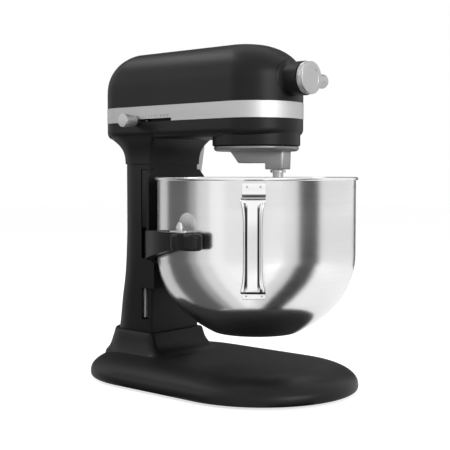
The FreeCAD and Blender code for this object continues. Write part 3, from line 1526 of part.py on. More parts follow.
# Motor: laminated stator and coils fixed in the cradle, and the spinning armature
def motor():
    half = d.stator_side / 2
    stack = block("stator_blank", d.stator_rear, d.stator_front, -half, half, axis_z - half, axis_z + half)
    long = d.stator_front - d.stator_rear
    bore = rod("stator_bore_rod", d.stator_bore, long, d.stator_rear, 0.0, axis_z, along_x)
    keep(cut("motor_stator", stack, bore), "motor_stator")
    coils = []
    for step, x in enumerate((d.stator_rear - d.coil_length, d.stator_front)):
        outer = rod(f"coil_outer_{step}", half - 2, d.coil_length, x, 0.0, axis_z, along_x)
        inner = rod(f"coil_inner_{step}", d.stator_bore + 1, d.coil_length, x, 0.0, axis_z, along_x)
        coils.append(cut(f"coil_{step}", outer, inner))
    keep(group("field_coils", coils), "field_coils")
    tip = d.bowl_x - d.pinion_back * 0.7
    shaft = rod("motor_shaft", d.motor_shaft, tip - d.motor_rear, d.motor_rear, 0.0, axis_z, along_x)
    keep(shaft, "motor_shaft")
    bore = d.motor_shaft + press_gap
    core = solid_rod(d.armature_radius, d.stator_rear, d.stator_front, 0.0, 0.0, axis_z)
    slots = [solid_rod(bore, d.stator_rear, d.stator_front, 0.0, 0.0, axis_z)]
    count = int(d.armature_slots)
    half = d.slot_wide / 2
    rim = d.armature_radius
    for step in range(count):
        slot = solid_block(d.stator_rear, d.stator_front, -half, half, rim - d.slot_deep, rim + 1)
        slot.rotate(Vector(), Vector(1, 0, 0), 360 * step / count)
        slot.translate(Vector(0, 0, axis_z))
        slots.append(slot)
    shaped("armature", core.cut(slots))
    long = d.commutator_long
    points = [(bore, 0.0), (d.commutator_radius, 0.0), (d.commutator_radius, long), (bore, long)]
    turned("commutator", points, d.cradle_rear + upright + 2, 0.0, axis_z, along_x)


# Cooling fan: a disc with straight blades in front of the stator
def cooling_fan():
    start = d.stator_front + d.coil_length + 2
    end = d.cradle_front - upright - 1
    disc = solid_rod(d.fan_radius, end - d.fan_plate, end, 0.0, 0.0, axis_z)
    hub = solid_rod(d.bearing_outer, start, end, 0.0, 0.0, axis_z)
    blades = []
    count = int(d.fan_blades)
    half = d.blade_thick / 2
    for step in range(count):
        blade = solid_block(start, end, -half, half, d.bearing_outer - 2, d.fan_radius - half)
        blade.rotate(Vector(), Vector(1, 0, 0), 360 * step / count)
        blade.translate(Vector(0, 0, axis_z))
        blades.append(blade)
    bore = solid_rod(d.motor_shaft + press_gap, start - 1, end + 1, 0.0, 0.0, axis_z)
    shaped("cooling_fan", disc.fuse([hub] + blades).cut(bore).removeSplitter())


# Brush gear on the rear end of the cradle, and the speed control board beside the motor
def electrics():
    rear = d.cradle_rear + upright
    face = d.commutator_radius + d.seat_gap
    holders = []
    brushes = []
    for side, name in ((-1, "right"), (1, "left")):
        near = face + d.brush_reach
        half = d.holder_side / 2
        low, high = sorted((side * near, side * (near + d.holder_reach)))
        end = rear + d.holder_long
        holders.append(block("holder_" + name, rear, end, low, high, axis_z - half, axis_z + half))
        start = rear + (d.holder_long - d.brush_long) / 2 + 1
        half = d.brush_side / 2
        low, high = sorted((side * face, side * near))
        end = start + d.brush_long
        brushes.append(block("brush_" + name, start, end, low, high, axis_z - half, axis_z + half))
    keep(group("brush_holders", holders), "brush_holders")
    keep(group("carbon_brushes", brushes), "carbon_brushes")
    shield_y = d.slide_thick + d.seat_gap - slide_wall
    shield = block("slot_shield", d.slot_rear - d.shield_margin, d.slot_front + d.shield_margin, shield_y,
                   shield_y + d.shield_thick, d.head_floor, d.head_floor + d.shield_tall)
    keep(shield, "slot_shield")
    board_y = d.slide_thick + d.board_gap - slide_wall
    back = board_y + d.board_thick
    floor = d.head_floor
    rear = d.slot_rear - d.board_margin
    front = d.slot_front + d.board_margin
    board = block("control_board", rear, front, board_y, back, floor, floor + d.board_tall)
    keep(board, "control_board")
    start = (d.slot_rear + d.slot_front - d.switch_long) / 2
    switch = block("speed_switch", start, start + d.switch_long, back, back + d.switch_thick, floor,
                   floor + d.switch_tall)
    keep(switch, "speed_switch")


ring_gear()
planet_gear()
planet_carrier()
drip_ring()
beater_shaft()
centre_shaft()
bevel_train()
power_take_off()
motor_mounts()
motor()
cooling_fan()
electrics()


# Nothing is written unless every object recomputed and every piece is a sound solid
doc.recompute()
for item in doc.Objects:
    if "Invalid" in item.State or "Error" in item.State:
        raise ValueError(f"{item.Name} failed: {item.State}")
for item in parts:
    if item.Shape.isNull() or not item.Shape.isValid():
        raise ValueError(f"{item.Label} has no valid shape")
for item in parts:
    item.Shape.exportStep(f"parts/{item.Label}.step")
print(len(parts), "pieces written")
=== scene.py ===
import math

import bmesh
import bpy
from mathutils import Matrix, Vector


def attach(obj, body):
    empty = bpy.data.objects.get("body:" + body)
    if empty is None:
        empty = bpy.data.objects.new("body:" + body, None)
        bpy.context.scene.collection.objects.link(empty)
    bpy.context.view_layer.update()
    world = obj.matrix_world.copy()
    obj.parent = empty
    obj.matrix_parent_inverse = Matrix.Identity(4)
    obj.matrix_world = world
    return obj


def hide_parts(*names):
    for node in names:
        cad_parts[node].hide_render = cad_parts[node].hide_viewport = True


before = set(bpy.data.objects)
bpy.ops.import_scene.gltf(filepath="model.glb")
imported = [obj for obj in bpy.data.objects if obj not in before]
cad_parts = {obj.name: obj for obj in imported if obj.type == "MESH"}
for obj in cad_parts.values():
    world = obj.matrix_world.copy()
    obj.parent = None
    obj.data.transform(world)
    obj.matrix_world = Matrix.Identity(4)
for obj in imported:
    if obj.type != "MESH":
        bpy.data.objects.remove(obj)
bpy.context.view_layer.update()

mm = 0.001
driveX = 60.0  # the axis of the bowl and the planetary
hubHeight = 373.6  # the power hub's axis
handleBearing = -51.0  # degrees round the bowl from the front


# A shader socket that takes part in Python expressions
class Wire:
    def __init__(self, tree, out):
        self.tree = tree
        self.out = out

    def make(self, kind, settings, values, output=0):
        node = self.tree.nodes.new(kind)
        for name, value in settings.items():
            if name == "stops":
                ramp = node.color_ramp.elements
                while len(ramp) < len(value):
                    ramp.new(0.5)
                for stop, (place, shade) in zip(ramp, value):
                    stop.position = place
                    stop.color = (shade, shade, shade, 1)
            else:
                setattr(node, name, value)
        for key, value in values.items():
            if isinstance(value, Wire):
                self.tree.links.new(value.out, node.inputs[key])
            else:
                node.inputs[key].default_value = value
        return Wire(self.tree, node.outputs[output])

    def calc(self, operation, first, second=0.0):
        return self.make("ShaderNodeMath", {"operation": operation}, {0: first, 1: second})

    def __add__(self, other):
        return self.calc("ADD", self, other)

    def __radd__(self, other):
        return self.calc("ADD", other, self)

    def __sub__(self, other):
        return self.calc("SUBTRACT", self, other)

    def __rsub__(self, other):
        return self.calc("SUBTRACT", other, self)

    def __mul__(self, other):
        return self.calc("MULTIPLY", self, other)

    def __rmul__(self, other):
        return self.calc("MULTIPLY", other, self)

    def axis(self, number):
        return self.make("ShaderNodeSeparateXYZ", {}, {"Vector": self}, number)

    def stretched(self, x, y, z):
        return self.make("ShaderNodeMapping", {}, {"Vector": self, "Scale": (x, y, z)})

    def noise(self, scale, detail=2.0, roughness=0.5):
        return self.make("ShaderNodeTexNoise", {}, {"Vector": self, "Scale": scale, "Detail": detail,
                                                    "Roughness": roughness})

    def ramp(self, *stops):
        return self.make("ShaderNodeValToRGB", {"stops": stops}, {"Fac": self})

    def tint(self, dark, light):
        return self.make("ShaderNodeMix", {"data_type": "RGBA"},
                         {"Factor": self, 6: (*dark, 1), 7: (*light, 1)}, 2)

    def bump(self, strength, depth):
        return self.make("ShaderNodeBump", {}, {"Height": self, "Strength": strength, "Distance": depth})


# A material's fixed numbers go on the shader's own sockets; the rest is wired by what follows
def newFinish(name, **fixed):
    material = bpy.data.materials.new(name)
    material.use_nodes = True
    tree = material.node_tree
    shader = tree.nodes["Principled BSDF"]
    for socket, value in fixed.items():
        words = "".join(" " + c if c.isupper() else c for c in socket).split()
        label = " ".join(word.capitalize() for word in words).replace("Ior", "IOR")
        shader.inputs[label].default_value = value
    place = Wire(tree, tree.nodes.new("ShaderNodeTexCoord").outputs["Object"])

    def feed(**wires):
        for socket, wire in wires.items():
            tree.links.new(wire.out, shader.inputs[" ".join(socket.split("_")).title()])
    return material, place, feed


def scaled(colour, share):
    return tuple(min(1.0, c * share) for c in colour)


# Satin black enamel: a fine orange peel, and slightly uneven gloss
enamelSpec = {"sheen": 0.2, "dark": (0.006, 0.006, 0.0063), "light": (0.008, 0.008, 0.0083), "rough": 0.36,
              "peelScale": 900.0, "peelDepth": 0.00006, "cloudScale": 14.0}


def enamelFinish(spec):
    material, place, feed = newFinish("satinBlackEnamel", specularIorLevel=spec["sheen"])
    peel = place.noise(spec["peelScale"], 3.0, 0.6)
    cloud = place.noise(spec["cloudScale"], 3.0)
    feed(Base_Color=cloud.tint(spec["dark"], spec["light"]),
         Roughness=spec["rough"] + 0.06 * cloud + 0.05 * peel,
         Normal=peel.bump(0.16, spec["peelDepth"]))
    return material


# Brushed metal: hairlines that change quickly along one axis only
def brushedFinish(name, base, rough, along, lines=9.0, depth=0.00004):
    material, place, feed = newFinish(name, metallic=1.0, anisotropic=0.45)
    hair = place.stretched(*along).noise(lines, 4.0, 0.7)
    broad = place.stretched(*(0.2 * a for a in along)).noise(lines * 0.35, 2.0)
    mask = hair * 0.7 + broad * 0.3
    feed(Base_Color=mask.tint(scaled(base, 0.9), scaled(base, 1.08)), Roughness=rough + 0.12 * mask,
         Normal=hair.bump(0.1, depth))
    return material


# Polished or turned metal with faint handling marks
def brightFinish(name, base, rough, spots=60.0, grain=1400.0, depth=0.00003):
    material, place, feed = newFinish(name, metallic=1.0)
    smear = place.noise(spots, 3.0)
    fine = place.noise(grain, 2.0)
    feed(Base_Color=smear.tint(scaled(base, 0.94), base), Roughness=rough + 0.08 * smear,
         Normal=fine.bump(0.05, depth))
    return material


# Cast or moulded surfaces with a visible grain
def grainFinish(name, base, rough, metal=0.0, grain=500.0, depth=0.00008):
    material, place, feed = newFinish(name, metallic=metal)
    grit = place.noise(grain, 4.0, 0.65)
    cloud = place.noise(25.0, 2.0)
    feed(Base_Color=cloud.tint(scaled(base, 0.85), base), Roughness=rough + 0.1 * grit,
         Normal=grit.bump(0.25, depth))
    return material


# Polished strap with painted shade and painted dark reflections: darker in the two bends where it leaves the
# bowl and in the hollows beside its middle panel.
# Each stop is a share of the span and a shade: bends and panel run up the strap, hollows across it
strapPaintedShade = {"low": 120.0, "tall": 140.0, "wide": 28.0, "rough": 0.1, "spots": 60.0,
              "dark": (0.02, 0.02, 0.02), "light": (0.93, 0.93, 0.935),
              "bends": ((0.07, 1.0), (0.085, 0.15), (0.105, 0.15), (0.12, 1.0),
                        (0.815, 1.0), (0.828, 0.1), (0.85, 0.1), (0.86, 1.0)),
              "panel": ((0.13, 0.0), (0.165, 1.0), (0.755, 1.0), (0.785, 0.0)),
              "hollows": ((0.18, 0.0), (0.2, 0.9), (0.285, 0.9), (0.31, 0.0),
                          (0.66, 0.0), (0.68, 0.95), (0.74, 0.95), (0.765, 0.0))}


def strapFinish(spec):
    material, place, feed = newFinish("polishedSteel", metallic=1.0)
    bearing = math.radians(handleBearing)
    x, y, z = (place.axis(number) for number in range(3))
    height = (z - spec["low"] * mm) * (1 / (spec["tall"] * mm))
    side = y * math.cos(bearing) - (x - driveX * mm) * math.sin(bearing)
    across = side * (1 / (spec["wide"] * mm)) + 0.5
    # Painted shade: the hollows and the two bends are darkened in the base colour
    hollow = across.ramp(*spec["hollows"]) * height.ramp(*spec["panel"])
    shade = height.ramp(*spec["bends"]) * (1.0 - hollow)
    smear = place.noise(spec["spots"], 3.0)
    feed(Base_Color=shade.tint(spec["dark"], spec["light"]), Roughness=spec["rough"] + 0.06 * smear)
    return material


# Guide rails with painted light and shade: brighter than bare steel low down under the yoke, and painted
# black higher up, where the groove is in shade
railPaintedShade = {"low": 50.0, "tall": 100.0, "wear": ((0.6, 1.0), (0.66, 0.0)), "rough": 0.55, "streaks": 900.0,
             "dark": (0.015, 0.015, 0.015), "light": (0.95, 0.95, 0.955)}


def railFinish(spec):
    material, place, feed = newFinish("drawnSteel", metallic=1.0)
    height = (place.axis(2) - spec["low"] * mm) * (1 / (spec["tall"] * mm))
    streak = place.stretched(1.0, 1.0, 0.05).noise(spec["streaks"], 2.0)
    # Painted shade by height: light low down, black above
    feed(Base_Color=height.ramp(*spec["wear"]).tint(spec["dark"], spec["light"]),
         Roughness=spec["rough"] + 0.1 * streak)
    return material


blackEnamel = enamelFinish(enamelSpec)
bowlSteel = brushedFinish("brushedBowlSteel", (0.92, 0.92, 0.925), 0.13, (1.0, 1.0, 130.0))
bandSilver = brushedFinish("brushedBandSilver", (0.5, 0.5, 0.505), 0.4, (1.0, 1.0, 160.0))
handleSteel = strapFinish(strapPaintedShade)
trimSilver = brightFinish("satinSilver", (0.5, 0.5, 0.505), 0.5)
capSilver = brightFinish("dullChrome", (0.5, 0.5, 0.505), 0.4)
earSteel = brightFinish("satinSteel", (0.52, 0.52, 0.525), 0.36)
dripSilver = brightFinish("dullSilver", (0.3, 0.3, 0.305), 0.3)
paintWhite = grainFinish("whitePaint", (0.75, 0.75, 0.75), 0.5)
plainSteel = brightFinish("groundSteel", (0.56, 0.565, 0.57), 0.28)
bronze = brightFinish("sinteredBronze", (0.5, 0.34, 0.17), 0.4)
copper = grainFinish("varnishedCopper", (0.55, 0.22, 0.09), 0.35, 0.8, 900.0)
castGrey = grainFinish("castAluminium", (0.37, 0.37, 0.375), 0.4, 0.75)
blackRubber = grainFinish("footRubber", (0.02, 0.02, 0.02), 0.75, 0.0, 700.0)
blackPlastic = grainFinish("mouldedBlack", (0.025, 0.025, 0.026), 0.5, 0.0, 900.0)
boardGreen = grainFinish("circuitBoard", (0.02, 0.11, 0.05), 0.4)
railSteel = railFinish(railPaintedShade)
ironStack = brushedFinish("laminatedIron", (0.3, 0.3, 0.31), 0.4, (220.0, 1.0, 1.0))
print("finishes ready")

nodeFinish = {
    blackEnamel: ["base_casting", "column_housing", "head_housing", "head_cover", "bowl_yoke"],
    bowlSteel: ["bowl"],
    handleSteel: ["bowl_handle"],
    earSteel: ["bowl_ears", "locating_pins"],
    bandSilver: ["trim_band", "drip_ring"],
    trimSilver: ["speed_lever", "lift_lever"],
    capSilver: ["hub_cap", "clamp_screw"],
    castGrey: ["planet_carrier", "motor_cradle", "pinion_stand"],
    plainSteel: ["base_plate", "foot_screws", "lift_crank", "centre_shaft", "crown_gear", "motor_shaft",
                 "motor_pinion", "hub_shaft", "hub_pinion", "drive_pin", "beater_shaft", "motor_bearings",
                 "ring_gear", "planet_gear"],
    railSteel: ["guide_rail_right", "guide_rail_left"],
    ironStack: ["motor_stator", "armature"],
    bronze: ["lever_bush", "centre_bearing", "hub_bearing"],
    copper: ["field_coils", "commutator"],
    blackRubber: ["rubber_feet"],
    blackPlastic: ["cord_inlet", "brush_holders", "cooling_fan", "speed_switch", "speed_slide",
                   "slot_shield", "carbon_brushes"],
    boardGreen: ["control_board"],
}
for finish, nodes in nodeFinish.items():
    for node in nodes:
        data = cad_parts[node].data
        data.materials.clear()
        data.materials.append(finish)
print("frame dressed")


# A finished bmesh becomes a piece: merged, facing outwards, dressed, and riding on a body
def newPiece(name, mesh, finish, body, stands=(), sharp=35.0, closed=True):
    bmesh.ops.remove_doubles(mesh, verts=mesh.verts, dist=0.002 * mm)
    if closed:
        bmesh.ops.recalc_face_normals(mesh, faces=mesh.faces)
    for face in mesh.faces:
        face.smooth = True
    data = bpy.data.meshes.new(name)
    mesh.to_mesh(data)
    mesh.free()
    data.set_sharp_from_angle(angle=math.radians(sharp))
    data.materials.append(finish)
    piece = bpy.data.objects.new(name, data)
    bpy.context.collection.objects.link(piece)
    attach(piece, body)
    if stands:
        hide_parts(*stands)
    return piece


def turned(mesh, degrees, axis, verts=None):
    bmesh.ops.rotate(mesh, matrix=Matrix.Rotation(math.radians(degrees), 3, axis), verts=verts or mesh.verts)


def moved(mesh, place, verts=None):
    bmesh.ops.translate(mesh, vec=[c * mm for c in place], verts=verts or mesh.verts)


# The same again on the other side
def mirrored(mesh):
    bmesh.ops.mirror(mesh, geom=mesh.verts[:] + mesh.edges[:] + mesh.faces[:], axis="Y", merge_dist=-1.0)


# A pen for half sections: radius and height in millimetres, turned about the Z axis when done
class Pen:
    def __init__(self, mesh, radius, height):
        self.mesh = mesh
        self.older = set(mesh.verts)
        self.tip = mesh.verts.new((radius * mm, 0.0, height * mm))

    def lines(self, *points):
        for radius, height in points:
            made = bmesh.ops.extrude_vert_indiv(self.mesh, verts=[self.tip])
            self.tip = made["verts"][0]
            self.tip.co = (radius * mm, 0.0, height * mm)
        return self

    def arc(self, radius, height, angle, steps=6):
        made = bmesh.ops.spin(self.mesh, geom=[self.tip], cent=(radius * mm, 0.0, height * mm),
                              axis=(0, 1, 0), angle=math.radians(angle), steps=steps)
        self.tip = next(item for item in made["geom_last"] if isinstance(item, bmesh.types.BMVert))
        return self

    # Turns the section, then sets its axis along a direction and moves it to its place
    def turn(self, steps, place=(0.0, 0.0, 0.0), along=(0, 0, 1)):
        mesh = self.mesh
        drawn = [v for v in mesh.verts if v not in self.older]
        edges = list({edge for v in drawn for edge in v.link_edges})
        bmesh.ops.spin(mesh, geom=drawn + edges, cent=(0, 0, 0), axis=(0, 0, 1), angle=2 * math.pi,
                       steps=steps, use_merge=True)
        made = [v for v in mesh.verts if v not in self.older]
        lean = Vector((0, 0, 1)).rotation_difference(Vector(along)).to_matrix()
        bmesh.ops.rotate(mesh, matrix=lean, verts=made)
        moved(mesh, place, made)


# Rounds the edges that are sharper than an angle
def soften(mesh, width, segments=3, angle=30.0, edges=None):
    sharp = [edge for edge in (edges or mesh.edges) if len(edge.link_faces) == 2
             and edge.calc_face_angle() > math.radians(angle)]
    bmesh.ops.bevel(mesh, geom=sharp, offset=width * mm, segments=segments, profile=0.5, affect="EDGES",
                    material=-1, clamp_overlap=True)


def boxOn(mesh, low, high):
    made = bmesh.ops.create_cube(mesh, size=1.0)["verts"]
    bmesh.ops.scale(mesh, vec=[(b - a) * mm for a, b in zip(low, high)], verts=made)
    moved(mesh, [(a + b) / 2 for a, b in zip(low, high)], made)


# Draws out the faces of a mesh along Y
def thickened(mesh, faces, depth):
    made = bmesh.ops.extrude_face_region(mesh, geom=faces)["geom"]
    moved(mesh, (0.0, depth, 0.0), [item for item in made if isinstance(item, bmesh.types.BMVert)])


# Steel bowl: one sheet section turned round the drive axis, with a rolled rim
bowlSpec = {"wall": 119.5, "thick": 1.0, "rim": 256.5, "straight": 40.0, "belly": 165.0, "bend": 92.0,
            "bendTurn": 48.0, "sweep": 170.0, "foot": 54.0, "footStep": 1.5, "floor": 71.6, "curl": 1.9,
            "curlTurn": 280.0, "steps": 160}


def makeBowl(spec):
    mesh = bmesh.new()
    turn = math.radians(spec["bendTurn"])
    bendX = spec["wall"] - spec["bend"]
    sweepX = bendX + (spec["bend"] - spec["sweep"]) * math.cos(turn)
    sweepZ = spec["belly"] - (spec["bend"] - spec["sweep"]) * math.sin(turn)
    footTurn = math.acos((spec["foot"] - sweepX) / spec["sweep"])
    footZ = sweepZ - spec["sweep"] * math.sin(footTurn)
    pen = Pen(mesh, 0.0, spec["floor"])
    pen.lines((spec["foot"] - spec["footStep"], spec["floor"]), (spec["foot"], footZ))
    pen.arc(sweepX, sweepZ, spec["bendTurn"] - math.degrees(footTurn), 10)
    pen.arc(bendX, spec["belly"], -spec["bendTurn"], 14)
    pen.lines((spec["wall"], spec["rim"] - spec["straight"]), (spec["wall"], spec["rim"]))
    pen.arc(spec["wall"] + spec["curl"], spec["rim"], spec["curlTurn"], 14)
    pen.turn(spec["steps"], (driveX, 0.0, 0.0))
    bowl = newPiece("steelBowl", mesh, bowlSteel, "bowl", ["bowl"], 50.0)
    wall = bowl.modifiers.new("wall", "SOLIDIFY")
    wall.thickness = spec["thick"] * mm
    wall.offset = -1.0


makeBowl(bowlSpec)

handleSpec = {"thick": 1.3,
              # Down the strap: distance from the axis, height, half width and the middle panel's rise
              "stations": [(120.0, 252.6, 13.2, 0.0), (120.0, 246.0, 13.2, 0.0), (120.0, 240.8, 13.2, 0.0),
                           (120.8, 237.8, 13.2, 0.0), (123.8, 236.2, 13.2, 0.0), (144.0, 235.6, 13.2, 0.0),
                           (155.0, 234.8, 13.2, 0.1), (159.6, 231.6, 12.8, 1.4), (161.0, 226.5, 11.0, 3.8),
                           (161.5, 217.0, 9.8, 4.4), (161.5, 190.0, 9.5, 4.4), (161.5, 156.0, 9.8, 4.4),
                           (161.3, 145.5, 10.6, 3.8), (160.0, 138.6, 12.6, 1.4), (155.6, 134.9, 13.2, 0.3),
                           (145.0, 133.6, 13.2, 0.0), (116.0, 132.4, 13.2, 0.0), (112.9, 130.2, 13.2, 0.0),
                           (111.2, 126.6, 13.2, 0.0), (109.3, 122.0, 13.2, 0.0)],
              # From the edge to the middle: share of the half width, and share of the panel's rise
              "across": [(1.0, -0.35), (0.97, 0.0), (0.88, 0.0), (0.81, 0.03), (0.74, 0.22), (0.63, 0.85),
                         (0.55, 1.0), (0.4, 1.05), (0.0, 1.08)],
              # Pairs of spot welds: height, half spacing, distance from the axis and lean
              "welds": [(248.0, 7.4, 121.4, 0.0), (126.0, 8.8, 112.6, -0.45)],
              "dot": [(0.0, 0.25), (0.9, 0.2), (1.3, -0.2)]}


def makeHandle(spec):
    mesh = bmesh.new()
    stations = spec["stations"]
    across = [(-share, lift) for share, lift in spec["across"]] + spec["across"][-2::-1]
    bmesh.ops.create_grid(mesh, x_segments=len(stations) - 1, y_segments=len(across) - 1, size=1.0)
    for v in mesh.verts:
        row = round((v.co.x + 1) / 2 * (len(stations) - 1))
        share, lift = across[round((v.co.y + 1) / 2 * (len(across) - 1))]
        reach, height, half, rise = stations[row]
        before, after = stations[max(row - 1, 0)], stations[min(row + 1, len(stations) - 1)]
        run = Vector((after[0] - before[0], after[1] - before[1])).normalized()
        v.co = Vector((reach - run.y * rise * lift, share * half, height + run.x * rise * lift)) * mm
    mesh.normal_update()
    if sum(face.normal.x for face in mesh.faces) < 0:
        bmesh.ops.reverse_faces(mesh, faces=mesh.faces)
    turned(mesh, handleBearing, "Z")
    moved(mesh, (driveX, 0.0, 0.0))
    handle = newPiece("strapHandle", mesh, handleSteel, "bowl", ["bowl_handle"], 180.0,
                      closed=False)
    wall = handle.modifiers.new("wall", "SOLIDIFY")
    wall.thickness = spec["thick"] * mm
    wall.offset = 1.0
    smooth = handle.modifiers.new("smooth", "SUBSURF")
    smooth.levels = smooth.render_levels = 2
    # Spot welds: shallow rises at the corners of both plates
    dots = bmesh.new()
    for height, half, out, lean in spec["welds"]:
        for side in (-1, 1):
            pen = Pen(dots, *spec["dot"][0])
            pen.lines(*spec["dot"][1:])
            pen.turn(12, (out, side * half, height), (1.0, 0.0, lean))
    turned(dots, handleBearing, "Z")
    moved(dots, (driveX, 0.0, 0.0))
    newPiece("handleWelds", dots, plainSteel, "bowl")


makeHandle(handleSpec)

# Ears of the bowl: a half-round plate on the wall and a shelf over the yoke's pad, on both sides
earSpec = {"wall": 119.6, "radius": 12.5, "low": 196.1, "tall": 22.2, "thick": 2.0, "reach": 139.8,
           "shelf": 2.2, "corner": 6.0, "edge": 0.5, "upright": 0.7}


def makeEars(spec):
    mesh = bmesh.new()
    half, low, wall = spec["radius"], spec["low"], spec["wall"]
    centre = low + spec["tall"] - half
    made = bmesh.ops.create_circle(mesh, cap_ends=True, segments=48, radius=half * mm)["verts"]
    turned(mesh, 90.0, "X", made)
    moved(mesh, (0.0, -wall, centre), made)
    for v in made:
        if v.co.z < centre * mm:
            v.co.z = low * mm
            if abs(v.co.x) > spec["upright"] * half * mm:
                v.co.x = math.copysign(half * mm, v.co.x)
    thickened(mesh, mesh.faces[:], -spec["thick"])
    soften(mesh, spec["edge"], 2, 50.0)
    older = set(mesh.edges)
    boxOn(mesh, (-half, -spec["reach"], low), (half, -wall, low + spec["shelf"]))
    shelf = [edge for edge in mesh.edges if edge not in older]
    tips = [edge for edge in shelf if all(v.co.y < -(spec["reach"] - 1) * mm for v in edge.verts)
            and abs(edge.verts[0].co.z - edge.verts[1].co.z) > mm]
    bmesh.ops.bevel(mesh, geom=tips, offset=spec["corner"] * mm, segments=8, profile=0.5, affect="EDGES",
                    material=-1)
    soften(mesh, spec["edge"], 2, 60.0, [edge for edge in mesh.edges if edge not in older])
    mirrored(mesh)
    moved(mesh, (driveX, 0.0, 0.0))
    newPiece("bowlEars", mesh, earSteel, "bowl", ["bowl_ears"])


makeEars(earSpec)
print("bowl ready")

# Covers over the upper ends of the column's grooves, where nothing runs
coverSpec = {"rear": -96.7, "front": -85.3, "floor": 37.5, "face": 43.6, "low": 193.0, "high": 267.6,
             "edge": 0.8}


def makeCovers(spec):
    mesh = bmesh.new()
    boxOn(mesh, (spec["rear"], -spec["face"], spec["low"]), (spec["front"], -spec["floor"], spec["high"]))
    soften(mesh, spec["edge"])
    mirrored(mesh)
    newPiece("grooveCovers", mesh, blackEnamel, "frame")


makeCovers(coverSpec)

# Hub cap: dished face, plain ring and a knurled rim
capSpec = {"back": 135.3, "radius": 19.2, "thick": 8.7, "edge": 0.8, "ring": 12.6, "ringEdge": 0.5,
           "dish": 0.45, "ribs": 72, "ribDepth": 0.32, "knurlEnd": 5.0, "groove": 0.7, "grooveLow": 5.5,
           "grooveHigh": 6.0, "lip": 0.2, "lipLow": 6.4, "round": 0.9}


def makeCap(spec):
    mesh = bmesh.new()
    r, t = spec["radius"], spec["thick"]
    groove, lip, dish = r - spec["groove"], r - spec["lip"], t - spec["dish"]
    pen = Pen(mesh, 0.0, 0.0)
    pen.lines((r - spec["edge"], 0.0), (r, spec["edge"]), (r, spec["knurlEnd"]), (groove, spec["grooveLow"]),
              (groove, spec["grooveHigh"]), (lip, spec["lipLow"]), (lip, t - spec["round"]))
    pen.arc(lip - spec["round"], t - spec["round"], -90.0, 4)
    pen.lines((spec["ring"] + spec["ringEdge"], t), (spec["ring"], dish), (0.0, dish))
    pen.turn(spec["ribs"] * 2)
    for v in mesh.verts:
        step = round(math.atan2(v.co.y, v.co.x) / math.pi * spec["ribs"])
        if step % 2 and abs(v.co.xy.length - r * mm) < 0.01 * mm:
            v.co.xy *= 1 - spec["ribDepth"] / r
    turned(mesh, 90.0, "Y")
    moved(mesh, (spec["back"], 0.0, hubHeight))
    newPiece("hubCap", mesh, capSilver, "hub_cap", ["hub_cap"], 25.0)


makeCap(capSpec)

# Clamp knob: a smooth round knob with a dimple, on its screw
clampSpec = {"x": 122.0, "tip": 18.5, "screw": 4.0, "point": 0.6, "start": 31.0, "end": 52.0, "radius": 8.5,
             "edge": 1.8, "dimple": 3.0, "dimpleFloor": 2.4, "dimpleDepth": 0.4}


def makeClamp(spec):
    mesh = bmesh.new()
    r, e, tip, screw = spec["radius"], spec["edge"], spec["tip"], spec["screw"]
    start, end, floor = spec["start"], spec["end"], spec["end"] - spec["dimpleDepth"]
    pen = Pen(mesh, 0.0, tip)
    pen.lines((screw - spec["point"], tip), (screw, tip + spec["point"]), (screw, start), (r - e, start))
    pen.arc(r - e, start + e, -90.0, 5).lines((r, end - e)).arc(r - e, end - e, -90.0, 5)
    pen.lines((spec["dimple"], end), (spec["dimpleFloor"], floor), (0.0, floor))
    pen.turn(64, (spec["x"], 0.0, hubHeight), (0, 1, 0))
    newPiece("clampKnob", mesh, capSilver, "clamp_screw", ["clamp_screw"])


makeClamp(clampSpec)

# Speed lever: a tapered knob on a stem that comes out through the slot, with a white dot on the slide
speedSpec = {"x": -92.5, "height": 329.6, "inside": 49.2, "band": 58.4, "end": 80.7, "stem": 1.7,
             "neck": 6.8, "shoulder": 2.4, "radius": 8.5, "collar": 4.0, "edge": 0.8,
             "dot": [(0.0, 0.5), (0.9, 0.4), (1.2, 0.0)], "dotAhead": 11.0, "dotRise": 0.2, "dotSink": 0.05}


def makeSpeedLever(spec):
    mesh = bmesh.new()
    r, e, inside, band, end = spec["radius"], spec["edge"], spec["inside"], spec["band"], spec["end"]
    neck = spec["neck"] - spec["shoulder"]
    pen = Pen(mesh, 0.0, inside)
    pen.lines((spec["stem"], inside), (spec["stem"], band), (neck, band))
    pen.arc(neck, band + spec["shoulder"], -85.0, 5).lines((r, end - spec["collar"]), (r, end - e))
    pen.arc(r - e, end - e, -90.0, 4).lines((0.0, end))
    pen.turn(64, (spec["x"], 0.0, spec["height"]), (0, -1, 0))
    newPiece("speedKnob", mesh, trimSilver, "speed_lever", ["speed_lever"])
    mark = bmesh.new()
    dot = Pen(mark, *spec["dot"][0])
    dot.lines(*spec["dot"][1:])
    dot.turn(16, (spec["x"] + spec["dotAhead"], spec["dotSink"] - inside, spec["height"] + spec["dotRise"]),
             (0, -1, 0))
    newPiece("speedPointer", mark, paintWhite, "speed_lever")


makeSpeedLever(speedSpec)

# Plain numbers over the slot, one for each place of the lever
markSpec = {"first": -90.0, "last": -36.0, "height": 333.6, "face": 57.42, "size": 3.6, "thick": 0.06,
            "count": 11}


def makeMarks(spec):
    mesh = bmesh.new()
    for number in range(spec["count"]):
        words = bpy.data.curves.new("mark", "FONT")
        words.body = str(number)
        words.size = spec["size"] * mm
        words.extrude = spec["thick"] * mm
        words.align_x = "CENTER"
        holder = bpy.data.objects.new("mark", words)
        flat = bpy.data.meshes.new_from_object(holder)
        older = set(mesh.verts)
        mesh.from_mesh(flat)
        made = [v for v in mesh.verts if v not in older]
        share = number / (spec["count"] - 1)
        across = spec["first"] + (spec["last"] - spec["first"]) * share
        turned(mesh, 90.0, "X", made)
        moved(mesh, (across, -spec["face"], spec["height"]), made)
        bpy.data.objects.remove(holder)
        bpy.data.curves.remove(words)
        bpy.data.meshes.remove(flat)
    newPiece("speedNumbers", mesh, blackPlastic, "frame")


makeMarks(markSpec)
print("controls ready")

